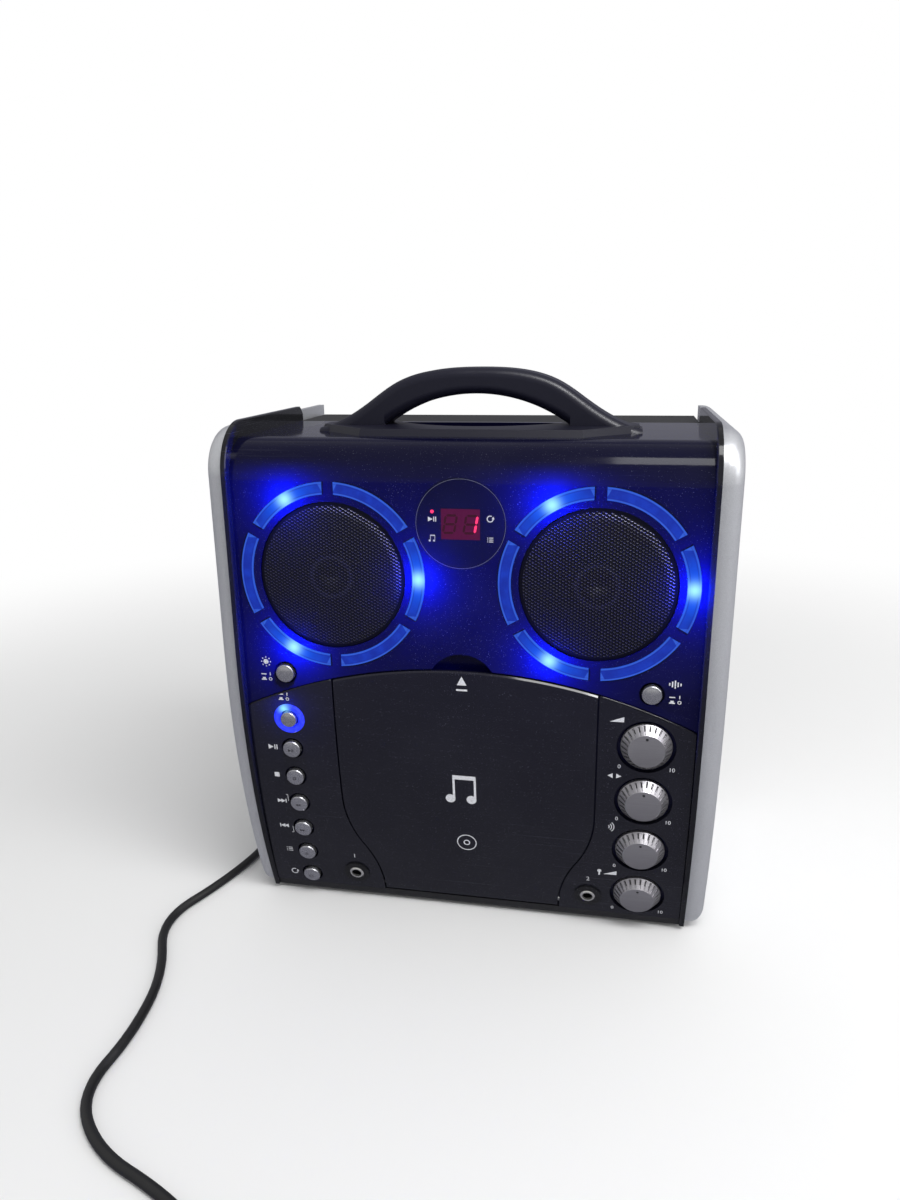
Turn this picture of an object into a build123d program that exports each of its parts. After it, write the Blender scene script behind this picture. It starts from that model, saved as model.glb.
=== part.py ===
"""Karaoke machine: twin lit speakers, a drop-down disc door, push buttons, knobs and a carry handle.

Frame: +Z up, the front faces -Y, origin on the ground at the middle of the cabinet. Millimetres.
"""

from build123d import *
import math
import os

os.makedirs("parts", exist_ok=True)

# ------------------------------------------------------------------ driving dimensions

# Cabinet
FACE_HALF_WIDTH = 132.5  # front face, from the centre to the inside of a side rim
BODY_DEPTH = 183.0  # upper front face to the outside of the rear wall
BODY_TOP_Z = 306.5
TOP_RADIUS = 22.0  # rounding between the front face and the top
REAR_RADIUS = 10.0
WALL = 2.5
CURVE_START_Z = 185.0  # below this height the front face curves back
CURVE_RADIUS = 590.0
FOOT_HEIGHT = 3.0
PANEL_BOTTOM_Z = 8.6  # top of the base, where the front pieces end
SEAM_DEPTH = 120.0  # front face to the joint between front housing and rear cabinet
TONGUE = 6.0  # how far the rear cabinet slides into the front housing

# Side rims and side panels
RIM_THICKNESS = 3.0
RIM_PROUD = 5.0  # in front of the face
RIM_RISE = 9.5  # above the top
RIM_WIDTH = 14.0
RIM_CURVE_RADIUS = 537.0
RIM_END_DEPTH = 126.0  # front face to the rear end of a rim
SIDE_BULGE = 12.0  # side panel, beyond the rim
SIDE_WALL = 2.4
SIDE_INSET = 3.0  # side panel's edge inside the rim's edge
SIDE_ROUNDING = 9.0

# Speakers and their light rings
SPEAKER_X = 75.0
SPEAKER_Z = 230.0
GRILLE_RADIUS = 43.1
GRILLE_SHEET = 0.8
RING_INNER = 47.2
RING_OUTER = 54.4
RING_GAP = 6.6  # between two lit segments
RING_SEGMENTS = 6
RING_PROUD = 0.4
LIGHT_GUIDE = 4.5
BOARD = 1.6  # thickness of every circuit board
SPEAKER_SQUARE = 92.0
SPEAKER_SCREW_SPACING = 84.8
SPEAKER_DEPTH = 42.0

# Display
DISPLAY_Z = 262.3
DISPLAY_RADIUS = 25.0
DIGITS_WIDTH = 21.6
DIGITS_HEIGHT = 17.0

# Lower panels and disc door
ARCH_TOP_Z = 177.5
ARCH_RADIUS = 307.6
PANEL = 3.0
PANEL_PROUD = 1.2
SUB_LAP = 1.2  # the sub-panel reaches this far above the arch
GUIDE_WALL = 1.6
SUB_WALL = 2.0
PANEL_GAP = 0.4
DOOR_GAP = 1.0
DOOR_HALF_TOP = 77.4
DOOR_HALF_FOOT = 56.4
DOOR_CURVE_TOP_Z = 85.0
DOOR_CURVE_FOOT_Z = 12.0
HINGE_Z = 13.5
HINGE_PIN_RADIUS = 1.25
HINGE_PIN_LENGTH = 16.5
RUNNING_FIT = 0.05
SCOOP_HALF_WIDTH = 17.4
SCOOP_TOP_Z = 186.7

# Controls
BUTTON_X = 106.8
UPPER_BUTTON_Z = 169.4
POWER_Z = 139.5
BUTTON_TOP_Z = 118.9
BUTTON_PITCH = 20.2
BUTTON_RADIUS = 5.6
POWER_BUTTON_RADIUS = 5.0
WELL_RADIUS = 7.0
STEM_RADIUS = 2.5
BUTTON_PROUD = 2.4
BUTTON_TRAVEL = 1.2
POWER_RING_OUTER = 9.8
POWER_RING_INNER = 5.7
KNOB_X = 105.4
KNOB_TOP_Z = 136.7
KNOB_PITCH = 36.4
KNOB_RADIUS = 14.4
KNOB_FACE_RADIUS = 10.2
KNOB_WELL_RADIUS = 16.6
KNOB_PROUD = 4.8  # above the panel
SHAFT_RADIUS = 3.0
JACK_X = 75.2
JACK_Z = 23.2
JACK_BEZEL_RADIUS = 8.4
JACK_BARREL_RADIUS = 6.0
JACK_BORE_RADIUS = 3.25
JACK_DEPTH = 31.0

# Disc mechanism
DISC_Z = 93.0
DISC_RADIUS = 60.0
DISC_CLEARANCE = 3.0
DISC_PLANE = -11.0  # height of the disc's underside, from the nominal face
WELL_FLOOR = -14.5
WELL_SKIN = 2.0
HUB_RADIUS = 7.4
CHASSIS_FRONT = -22.5
CHASSIS = 2.0
ROD_RADIUS = 1.5
ROD_SPACING = 40.0
SLED_REST_X = 25.0
PINION_RADIUS = 7.0
PINION_TEETH = 18

# Handle
HANDLE_DEPTH = 65.0  # front face to the middle of the grip
HANDLE_THICKNESS = 26.0
HANDLE_HALF_SPAN = 96.0
HANDLE_TOP_Z = BODY_TOP_Z + 36.8
HANDLE_OPENING_Z = BODY_TOP_Z + 22.0
HANDLE_OPENING_HALF = 55.0
HANDLE_PAD = 4.0
HANDLE_PAD_DEPTH = 72.0
SCOOP_RADIUS = 59.0
SCOOP_FRONT_DEPTH = 48.0
SCOOP_SINK = 11.0

# Mains cord
CORD_RADIUS = 2.7
CORD_X = -92.0
CORD_Z = 28.0
RELIEF_LENGTH = 24.0
COIL_MEAN_DIAMETER = 58.0
COIL_SECTION_WIDTH = 22.0
COIL_SECTION_HEIGHT = 13.0
COIL_CENTRE = (-68.4, -349.3)

# ------------------------------------------------------------------ derived places

FACE_Y = (RIM_PROUD - BODY_DEPTH) / 2
REAR_Y = FACE_Y + BODY_DEPTH
SEAM_Y = FACE_Y + SEAM_DEPTH
PANEL_SEAT = PANEL - PANEL_PROUD  # depth of the surface that the lower panels lie on
SUB_BACK = PANEL_SEAT + SUB_WALL
REACH = 400.0  # longer than any piece, for cuts that go right through

FRONT_ZONE = Plane.XZ.offset(-(FACE_Y + 60))  # a plane behind the lower panels, facing forward

FROM_BACK = (Align.CENTER, Align.CENTER, Align.MIN)


def keep(piece, name):
    """Label a finished piece and write its file."""
    piece.part.label = name
    export_step(piece.part, f"parts/{name}.step")


def face_depth(z):
    """How far the nominal front surface lies behind the upper face at a height."""
    drop = max(CURVE_START_Z - z, 0)
    return CURVE_RADIUS - math.sqrt(CURVE_RADIUS**2 - drop**2)


def face_plane(x, z, outward=0.0):
    """The plane that touches the nominal front surface, facing out, with its Y up the face."""
    tilt = math.asin(max(CURVE_START_Z - z, 0) / CURVE_RADIUS)
    normal = Vector(0, -math.cos(tilt), -math.sin(tilt))
    origin = Vector(x, FACE_Y + face_depth(z), z) + normal * outward
    return Plane(origin=origin, x_dir=(1, 0, 0), z_dir=normal)


def profile_plane(plane):
    """The plane through a facing plane's normal: X across it, Y along the normal."""
    return Plane(origin=plane.origin, x_dir=plane.x_dir, z_dir=-plane.y_dir)


def rod(plane, radius, start, end, mode=Mode.ADD):
    """A round bar along a plane's normal, between two heights above the plane."""
    with Locations(plane.offset(start)):
        Cylinder(radius, end - start, align=FROM_BACK, mode=mode)


def block(plane, width, height, start, end, mode=Mode.ADD):
    """A box along a plane's normal, between two heights above the plane."""
    with Locations(plane.offset(start)):
        Box(width, height, end - start, align=FROM_BACK, mode=mode)


def turned(plane, *points, mode=Mode.ADD):
    """A turned shape about a plane's normal, from (radius, height) points."""
    with BuildSketch(profile_plane(plane)) as outline:
        with BuildLine():
            Polyline(*points, close=True)
        make_face()
    revolve(outline.sketch, axis=Axis(plane.origin, plane.z_dir), mode=mode)


def shifted(plane, x, y):
    """A plane moved within itself."""
    return Plane(origin=plane.from_local_coords((x, y, 0)), x_dir=plane.x_dir, z_dir=plane.z_dir)


def side_profile(front, top, curve_radius, bottom, back):
    """Side view of all that lies behind a front line and under a top line, both moved outward."""
    drop = CURVE_START_Z - bottom
    corner = TOP_RADIUS + (front + top) / 2
    corner_y = FACE_Y - front + corner
    corner_z = BODY_TOP_Z + top - corner
    centre_y = FACE_Y - front + curve_radius

    def on_curve(fall):
        return (centre_y - math.sqrt(curve_radius**2 - fall**2), CURVE_START_Z - fall)

    slant = corner * math.sqrt(0.5)
    with BuildSketch(Plane.YZ) as profile:
        with BuildLine():
            ThreePointArc(on_curve(drop), on_curve(drop / 2), on_curve(0))
            Line(on_curve(0), (FACE_Y - front, corner_z))
            ThreePointArc(
                (FACE_Y - front, corner_z),
                (corner_y - slant, corner_z + slant),
                (corner_y, BODY_TOP_Z + top),
            )
            Polyline((corner_y, BODY_TOP_Z + top), (back, BODY_TOP_Z + top), (back, bottom), on_curve(drop))
        make_face()
    return profile.sketch


def behind_face(outward, bottom, back):
    """Side view of all that lies behind the front surface, moved outward by an amount."""
    return side_profile(outward, outward, CURVE_RADIUS + outward, bottom, back)


def below_arch(lift):
    """Front view of all that lies under the arch, moved up by an amount."""
    radius = ARCH_RADIUS + lift
    half = FACE_HALF_WIDTH + RIM_THICKNESS
    centre_z = ARCH_TOP_Z - ARCH_RADIUS
    end_z = centre_z + math.sqrt(radius**2 - half**2)
    with BuildSketch(FRONT_ZONE) as zone:
        with BuildLine():
            ThreePointArc((-half, end_z), (0, centre_z + radius), (half, end_z))
            Polyline((half, end_z), (half, 0), (-half, 0), (-half, end_z))
        make_face()
    return zone.sketch


def door_edge(grow, side):
    """One side edge of the door's outline, an S of two tangent arcs, from top to bottom."""
    top = DOOR_HALF_TOP + grow
    foot = DOOR_HALF_FOOT + grow
    half_width = (top - foot) / 2
    half_height = (DOOR_CURVE_TOP_Z - DOOR_CURVE_FOOT_Z) / 2
    radius = (half_width**2 + half_height**2) / (2 * half_width)
    turn = math.asin(half_height / radius) / 2
    rise = radius * math.sin(turn)
    inset = radius - radius * math.cos(turn)
    top_end = (side * top, DOOR_CURVE_TOP_Z)
    middle = (side * (top - half_width), DOOR_CURVE_FOOT_Z + half_height)
    foot_end = (side * foot, DOOR_CURVE_FOOT_Z)
    Line((side * top, BODY_TOP_Z), top_end)
    ThreePointArc(top_end, (side * (top - inset), DOOR_CURVE_TOP_Z - rise), middle)
    ThreePointArc(middle, (side * (foot + inset), DOOR_CURVE_FOOT_Z + rise), foot_end)
    Line(foot_end, (side * foot, 0))


def panel_blank(bottom):
    """The curved sheet that the lower panels and the door are cut from."""
    extrude(behind_face(PANEL_PROUD, bottom, REAR_Y), amount=FACE_HALF_WIDTH - PANEL_GAP, both=True)
    extrude(behind_face(-PANEL_SEAT, -WALL, REAR_Y + WALL), amount=REACH, both=True, mode=Mode.SUBTRACT)


speakers = {"left": -SPEAKER_X, "right": SPEAKER_X}
sides = {"left": -1, "right": 1}
small_buttons = ["play", "stop", "skip_back", "skip_forward", "program", "repeat"]
small_button_z = [BUTTON_TOP_Z - i * BUTTON_PITCH for i in range(len(small_buttons))]
knobs = ["master_volume", "balance", "echo", "microphone_volume"]
knob_z = [KNOB_TOP_Z - i * KNOB_PITCH for i in range(len(knobs))]
hinge = face_plane(0, HINGE_Z, -PANEL_SEAT)
bay = face_plane(0, DISC_Z)
display = face_plane(0, DISPLAY_Z)
upper_buttons = {
    "disco_light": face_plane(-BUTTON_X, UPPER_BUTTON_Z),
    "voice_control": face_plane(BUTTON_X, UPPER_BUTTON_Z),
}
power = face_plane(-BUTTON_X, POWER_Z)
WELL_RADIUS_DISC = DISC_RADIUS + DISC_CLEARANCE
WELL_RIM = 3.5
NOTCH_RADIUS = 12.0
BOSS_RADIUS = 3.2
SCREW_RADIUS = 1.5
GUIDE_BOTTOM = -6.0
LIGHT_GUIDE_BACK = -(WALL + LIGHT_GUIDE)
SPEAKER_SEAT = LIGHT_GUIDE_BACK - BOARD


def ring_outline(grow):
    """Front view of the lit segments of one ring, grown by a clearance."""
    Circle(RING_OUTER + grow)
    Circle(RING_INNER - grow, mode=Mode.SUBTRACT)
    with PolarLocations(0, RING_SEGMENTS // 2, start_angle=180 / RING_SEGMENTS, angular_range=180):
        Rectangle(3 * RING_OUTER, RING_GAP - 2 * grow, mode=Mode.SUBTRACT)


def finger_notches(radius, start, end, mode):
    """Two round notches beside the disc for a thumb and a finger."""
    for x in (-WELL_RADIUS_DISC, WELL_RADIUS_DISC):
        rod(shifted(bay, x, 0), radius, start, end, mode)


# ------------------------------------------------------------------ front housing

SCREW_Z = [40.0, 170.0, 285.0]
SCREW_X = FACE_HALF_WIDTH - WALL - 6
HOUSING_BOSS = 5.0
REAR_BOSS = 5.5
BOSS_JOINT_Y = SEAM_Y - TONGUE - 2
HOUSING_BOSS_LENGTH = 20.0
RIB_LENGTH = 7.0  # joins a boss to the side wall
DISPLAY_BOARD_FRONT = -8.4
DISPLAY_SCREW_SPACING = 59.0
SCOOP_DEPTH = 7.0
SCOOP_SKIN = 2.0
arch_at_scoop = ARCH_TOP_Z - ARCH_RADIUS + math.sqrt(ARCH_RADIUS**2 - SCOOP_HALF_WIDTH**2)
scoop_rise = SCOOP_TOP_Z - arch_at_scoop
scoop_radius = (SCOOP_HALF_WIDTH**2 + scoop_rise**2) / (2 * scoop_rise)
SCOOP_LOW_Z = 168.0  # the scoop reaches this far down behind the door's top edge
CATCH_WIDTH = 12.0
CATCH_LOW_Z = 154.0
CATCH_TOP_Z = 160.0
HINGE_LUG = 9.0  # length of each bearing groove
hinge_line = Plane(origin=hinge.origin, x_dir=(0, 1, 0), z_dir=(1, 0, 0))
pocket = Plane(origin=(0, FACE_Y + SCOOP_FRONT_DEPTH + SCOOP_RADIUS, BODY_TOP_Z), z_dir=(0, 0, 1))


def handle_pocket(grow, sink, mode):
    """The D-shaped finger space in the top, under the handle."""
    with BuildSketch(pocket.offset(-sink)) as outline:
        Circle(SCOOP_RADIUS + grow)
        with Locations((0, SEAM_DEPTH - WALL - 2 + grow - SCOOP_FRONT_DEPTH - SCOOP_RADIUS + REACH / 2)):
            Rectangle(REACH, REACH, mode=Mode.SUBTRACT)
    extrude(outline.sketch, amount=sink, mode=mode)


def hinge_groove(radius, mode):
    """The round seats of the two hinge pins, beside the foot of the door."""
    start = DOOR_HALF_FOOT - DOOR_GAP
    rod(hinge_line, radius, start, start + HINGE_LUG + DOOR_GAP, mode)
    rod(hinge_line, radius, -start - HINGE_LUG - DOOR_GAP, -start, mode)


with BuildPart() as panel_recess:  # the space that the lower panels and the door fill
    extrude(below_arch(0), amount=REACH)
    extrude(behind_face(-PANEL_SEAT, -WALL, REAR_Y), amount=REACH, both=True, mode=Mode.SUBTRACT)

with BuildPart() as sub_wall:  # the wall that the lower panels lie on
    extrude(behind_face(-PANEL_SEAT, PANEL_BOTTOM_Z, REAR_Y), amount=FACE_HALF_WIDTH, both=True)
    extrude(behind_face(-SUB_BACK, 0, REAR_Y + WALL), amount=REACH, both=True, mode=Mode.SUBTRACT)
    extrude(below_arch(SUB_LAP), amount=REACH, mode=Mode.INTERSECT)

housing_bosses = []
housing_ribs = []
for side in sides.values():
    for z in SCREW_Z:
        boss = Plane(origin=(side * SCREW_X, BOSS_JOINT_Y, z), x_dir=(1, 0, 0), z_dir=(0, -1, 0))
        housing_bosses.append(boss)
        housing_ribs.append(shifted(boss, side * RIB_LENGTH / 2, 0))

with BuildPart() as front_housing:
    extrude(behind_face(0, PANEL_BOTTOM_Z, SEAM_Y), amount=FACE_HALF_WIDTH, both=True)
    extrude(behind_face(-WALL, 0, REAR_Y), amount=FACE_HALF_WIDTH - WALL, both=True, mode=Mode.SUBTRACT)
    add(panel_recess.part, mode=Mode.SUBTRACT)
    add(sub_wall.part)
    handle_pocket(WALL, SCOOP_SINK + WALL, Mode.ADD)
    with Locations((0, FACE_Y + PANEL_SEAT + 0.4, (SCOOP_LOW_Z + SCOOP_TOP_Z) / 2)):
        Box(
            2 * (scoop_radius + SCOOP_SKIN),
            SCOOP_DEPTH + SCOOP_SKIN,
            SCOOP_TOP_Z - SCOOP_LOW_Z + 2 * SCOOP_SKIN,
            align=(Align.CENTER, Align.MIN, Align.CENTER),
        )

    # bosses for the speakers, the display, the upper buttons and the rear cabinet's screws
    for x in speakers.values():
        with Locations(face_plane(x, SPEAKER_Z, SPEAKER_SEAT)):
            with GridLocations(SPEAKER_SCREW_SPACING, SPEAKER_SCREW_SPACING, 2, 2):
                Cylinder(BOSS_RADIUS, -SPEAKER_SEAT - WALL / 2, align=FROM_BACK)
    with Locations(display.offset(DISPLAY_BOARD_FRONT)):
        with GridLocations(0, DISPLAY_SCREW_SPACING, 1, 2):
            Cylinder(BOSS_RADIUS, -DISPLAY_BOARD_FRONT - WALL / 2, align=FROM_BACK)
    for guide in upper_buttons.values():
        rod(guide, WELL_RADIUS + GUIDE_WALL, GUIDE_BOTTOM, -WALL / 2)
    for boss in housing_bosses:
        rod(boss, HOUSING_BOSS, 0, HOUSING_BOSS_LENGTH)
    for rib in housing_ribs:
        with Locations(rib):
            Box(RIB_LENGTH, HOUSING_BOSS, HOUSING_BOSS_LENGTH, align=FROM_BACK)
    extrude(behind_face(0, 0, REAR_Y), amount=FACE_HALF_WIDTH, both=True, mode=Mode.INTERSECT)

    # finger space under the handle and finger scoop above the door
    handle_pocket(0, SCOOP_SINK, Mode.SUBTRACT)
    with BuildSketch(Plane.XZ.offset(-(FACE_Y + SCOOP_DEPTH))):
        with Locations((0, SCOOP_TOP_Z - scoop_radius)):
            Circle(scoop_radius)
        with Locations((0, SCOOP_LOW_Z - REACH / 2)):
            Rectangle(REACH, REACH, mode=Mode.SUBTRACT)
    extrude(amount=REACH / 8, mode=Mode.SUBTRACT)

    # speaker openings, light slots and screw holes
    for x in speakers.values():
        seat = face_plane(x, SPEAKER_Z)
        rod(seat, GRILLE_RADIUS, -2 * WALL, WALL, Mode.SUBTRACT)
        with BuildSketch(seat.offset(-2 * WALL)):
            ring_outline(0)
        extrude(amount=3 * WALL, mode=Mode.SUBTRACT)
        with Locations(seat.offset(SPEAKER_SEAT)):
            with GridLocations(SPEAKER_SCREW_SPACING, SPEAKER_SCREW_SPACING, 2, 2):
                Cylinder(SCREW_RADIUS, -SPEAKER_SEAT - WALL, align=FROM_BACK, mode=Mode.SUBTRACT)
    for boss in housing_bosses:
        rod(boss, SCREW_RADIUS, 0, HOUSING_BOSS_LENGTH - 4, Mode.SUBTRACT)

    # display opening with a flat seat behind it
    rod(display, DISPLAY_RADIUS + RUNNING_FIT, -2 * WALL, WALL, Mode.SUBTRACT)
    rod(display, DISPLAY_RADIUS + 1.2, -2 * WALL, -WALL, Mode.SUBTRACT)

    # wells of the two upper buttons, and guides of all the buttons
    for guide in upper_buttons.values():
        rod(guide, WELL_RADIUS, GUIDE_BOTTOM + SUB_WALL, WALL, Mode.SUBTRACT)
        rod(guide, STEM_RADIUS + RUNNING_FIT, -REACH / 8, 0, Mode.SUBTRACT)
    for z in [POWER_Z] + small_button_z:
        rod(face_plane(-BUTTON_X, z), STEM_RADIUS + RUNNING_FIT, -2 * SUB_BACK, 0, Mode.SUBTRACT)

    # holes for the knob shafts' bushings and the microphone sockets
    for z in knob_z:
        rod(face_plane(KNOB_X, z), SHAFT_RADIUS + 0.7, -2 * SUB_BACK, 0, Mode.SUBTRACT)
    for side in sides.values():
        rod(face_plane(side * JACK_X, JACK_Z), JACK_BARREL_RADIUS + 0.15, -2 * SUB_BACK, 0, Mode.SUBTRACT)

    # disc opening, catch notch, room for the door's foot, and hinge seats
    rod(bay, WELL_RADIUS_DISC, -4 * SUB_BACK, SUB_BACK, Mode.SUBTRACT)
    finger_notches(NOTCH_RADIUS, -4 * SUB_BACK, SUB_BACK, Mode.SUBTRACT)
    with BuildSketch(FRONT_ZONE):
        with Locations((0, (CATCH_LOW_Z + CATCH_TOP_Z) / 2)):
            Rectangle(CATCH_WIDTH, CATCH_TOP_Z - CATCH_LOW_Z)
        with Locations((0, (PANEL_BOTTOM_Z + HINGE_Z + 6) / 2)):
            Rectangle(2 * (DOOR_HALF_FOOT + DOOR_GAP / 2), HINGE_Z + 6 - PANEL_BOTTOM_Z)
    extrude(amount=REACH, mode=Mode.SUBTRACT)
    hinge_groove(HINGE_PIN_RADIUS + RUNNING_FIT, Mode.SUBTRACT)
keep(front_housing, "front_housing")


# ------------------------------------------------------------------ base plate and feet

FOOT_RADIUS = 9.0
FOOT_SINK = 0.6
FOOT_X = 108.0
FOOT_FRONT_Y = FACE_Y + 44
FOOT_REAR_Y = REAR_Y - 18
LIP_SETBACK = 1.0  # the base's front lip stands this far behind the panels
foot_places = [(x, y) for x in (-FOOT_X, FOOT_X) for y in (FOOT_FRONT_Y, FOOT_REAR_Y)]
BOARD_Z = 20.0
BOARD_FROM_REAR = 61.0  # rear wall to the middle of the main board
BOARD_CENTRE = (44.0, REAR_Y - BOARD_FROM_REAR)
BOARD_WIDTH = 150.0
BOARD_LENGTH = 90.0
BOARD_POST_INSET = 6.0
MAIN_FLOOR_Z = FOOT_HEIGHT + WALL

with BuildPart() as base_plate:
    extrude(behind_face(PANEL_PROUD - LIP_SETBACK, FOOT_HEIGHT, REAR_Y), amount=FACE_HALF_WIDTH, both=True)
    with Locations((0, 0, PANEL_BOTTOM_Z)):
        Box(REACH, REACH, REACH, align=FROM_BACK, mode=Mode.SUBTRACT)
    with BuildSketch(Plane.XY.offset(MAIN_FLOOR_Z)):
        with Locations((0, (FACE_Y + face_depth(PANEL_BOTTOM_Z) + WALL + REAR_Y - WALL) / 2)):
            Rectangle(
                2 * (FACE_HALF_WIDTH - WALL), REAR_Y - FACE_Y - face_depth(PANEL_BOTTOM_Z) - 2 * WALL
            )
    extrude(amount=REACH, mode=Mode.SUBTRACT)
    with Locations((*BOARD_CENTRE, FOOT_HEIGHT)):
        with GridLocations(BOARD_WIDTH - 2 * BOARD_POST_INSET, BOARD_LENGTH - 2 * BOARD_POST_INSET, 2, 2):
            Cylinder(BOSS_RADIUS, BOARD_Z - FOOT_HEIGHT, align=FROM_BACK)
    for x, y in foot_places:
        with Locations((x, y, FOOT_HEIGHT - WALL)):
            Cylinder(FOOT_RADIUS, WALL + FOOT_SINK, align=FROM_BACK, mode=Mode.SUBTRACT)
keep(base_plate, "base_plate")

with BuildPart() as feet:
    for x, y in foot_places:
        with Locations((x, y, 0)):
            Cylinder(FOOT_RADIUS, FOOT_HEIGHT + FOOT_SINK, align=FROM_BACK)
    chamfer(feet.edges().group_by(Axis.Z)[0], 0.8)
keep(feet, "feet")


# ------------------------------------------------------------------ rear cabinet

SOCKET_X = [52.0, 70.0, 88.0]
SOCKET_Z = 44.0
SOCKET_POCKET_WIDTH = 70.0
SOCKET_POCKET_HEIGHT = 26.0
SOCKET_POCKET_DEPTH = 10.0
SOCKET_RADIUS = 4.15
SOCKET_NECK = 3.9
SOCKET_START = 1.0 - SOCKET_POCKET_DEPTH  # the full-width barrel starts this far behind the rear face
VENT_COUNT = 9
VENT_PITCH = 8.0
VENT_WIDTH = 84.0
VENT_HEIGHT = 3.2
VENT_Z = 190.0
RELIEF_COLLAR = 5.2
rear = Plane(origin=(0, REAR_Y, 0), x_dir=(-1, 0, 0), z_dir=(0, 1, 0))  # outside of the rear wall
socket_x = sum(SOCKET_X) / len(SOCKET_X)


def rear_profile(inset, front):
    """Side view of the rear cabinet, its walls moved inward."""
    radius = REAR_RADIUS - inset
    top = BODY_TOP_Z - inset
    back = REAR_Y - inset
    slant = radius * (1 - math.sqrt(0.5))
    with BuildSketch(Plane.YZ) as profile:
        with BuildLine():
            ThreePointArc((back - radius, top), (back - slant, top - slant), (back, top - radius))
            Polyline(
                (back, top - radius),
                (back, PANEL_BOTTOM_Z - inset),
                (front, PANEL_BOTTOM_Z - inset),
                (front, top),
                (back - radius, top),
            )
        make_face()
    return profile.sketch


with BuildPart() as rear_cabinet:
    extrude(rear_profile(0, SEAM_Y), amount=FACE_HALF_WIDTH, both=True)
    extrude(rear_profile(WALL, SEAM_Y - WALL), amount=FACE_HALF_WIDTH - WALL, both=True, mode=Mode.SUBTRACT)

    # tongue that slides into the front housing
    with BuildSketch(Plane.XZ.offset(-(SEAM_Y + TONGUE))):
        with Locations((0, (PANEL_BOTTOM_Z + BODY_TOP_Z - WALL) / 2)):
            Rectangle(2 * (FACE_HALF_WIDTH - WALL), BODY_TOP_Z - WALL - PANEL_BOTTOM_Z)
        with Locations((0, (PANEL_BOTTOM_Z + BODY_TOP_Z - 2 * WALL - REACH) / 2)):
            inner_height = BODY_TOP_Z - 2 * WALL - PANEL_BOTTOM_Z + REACH
            Rectangle(2 * (FACE_HALF_WIDTH - 2 * WALL), inner_height, mode=Mode.SUBTRACT)
    extrude(amount=2 * TONGUE)
    handle_pocket(WALL, SCOOP_SINK + WALL, Mode.SUBTRACT)

    # screw bosses with deep holes
    for side in sides.values():
        for z in SCREW_Z:
            boss = Plane(origin=(side * SCREW_X, BOSS_JOINT_Y, z), x_dir=(1, 0, 0), z_dir=(0, 1, 0))
            rod(boss, REAR_BOSS, 0, REAR_Y - WALL - BOSS_JOINT_Y)
            with Locations(shifted(boss, side * RIB_LENGTH / 2, 0).offset(SEAM_Y - BOSS_JOINT_Y)):
                Box(RIB_LENGTH, HOUSING_BOSS, REAR_Y - WALL - SEAM_Y, align=FROM_BACK)
            rod(boss, SCREW_RADIUS + 0.2, 0, REACH / 4, Mode.SUBTRACT)
            rod(boss, 4.0, 4.0, REACH / 4, Mode.SUBTRACT)

    # socket pocket, vents and cord hole
    pocket_plane = shifted(rear, -socket_x, SOCKET_Z)
    pocket_outside = (SOCKET_POCKET_WIDTH + 2 * WALL, SOCKET_POCKET_HEIGHT + 2 * WALL)
    block(pocket_plane, *pocket_outside, -SOCKET_POCKET_DEPTH - WALL, -WALL / 2)
    block(pocket_plane, SOCKET_POCKET_WIDTH, SOCKET_POCKET_HEIGHT, -SOCKET_POCKET_DEPTH, WALL, Mode.SUBTRACT)
    for x in SOCKET_X:
        rod(shifted(rear, -x, SOCKET_Z), SOCKET_RADIUS + 0.15, -REACH / 8, 0, Mode.SUBTRACT)
    with BuildSketch(rear.offset(-2 * WALL)):
        with Locations((0, VENT_Z)):
            with GridLocations(0, VENT_PITCH, 1, VENT_COUNT):
                SlotOverall(VENT_WIDTH, VENT_HEIGHT)
    extrude(amount=3 * WALL, mode=Mode.SUBTRACT)
    rod(shifted(rear, -CORD_X, CORD_Z), RELIEF_COLLAR, -2 * WALL, WALL, Mode.SUBTRACT)
keep(rear_cabinet, "rear_cabinet")

with BuildPart() as rca_sockets:
    for x in SOCKET_X:
        socket = shifted(rear, -x, SOCKET_Z)
        rod(socket, SOCKET_NECK, -SOCKET_POCKET_DEPTH - 2 * WALL, SOCKET_START)
        rod(socket, SOCKET_RADIUS, SOCKET_START, -1.5)
        rod(socket, 3.3, -6.0, 0, Mode.SUBTRACT)
        rod(socket, 1.8, -8.0, -3.0)
        block(socket, 10, 12, -SOCKET_POCKET_DEPTH - 14, -SOCKET_POCKET_DEPTH - WALL)
keep(rca_sockets, "rca_sockets")


# ------------------------------------------------------------------ side rims and side panels


def rim_profile(inset, bottom, back):
    """Side view of all that lies behind the side rim's edge, moved inward."""
    return side_profile(RIM_PROUD - inset, RIM_RISE - inset, RIM_CURVE_RADIUS - inset, bottom, back)


def side_outline(inset, margin):
    """Side view of a side panel, its rear and bottom edges moved in by their own margin."""
    return rim_profile(inset, FOOT_HEIGHT + margin, REAR_Y - margin)


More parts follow.
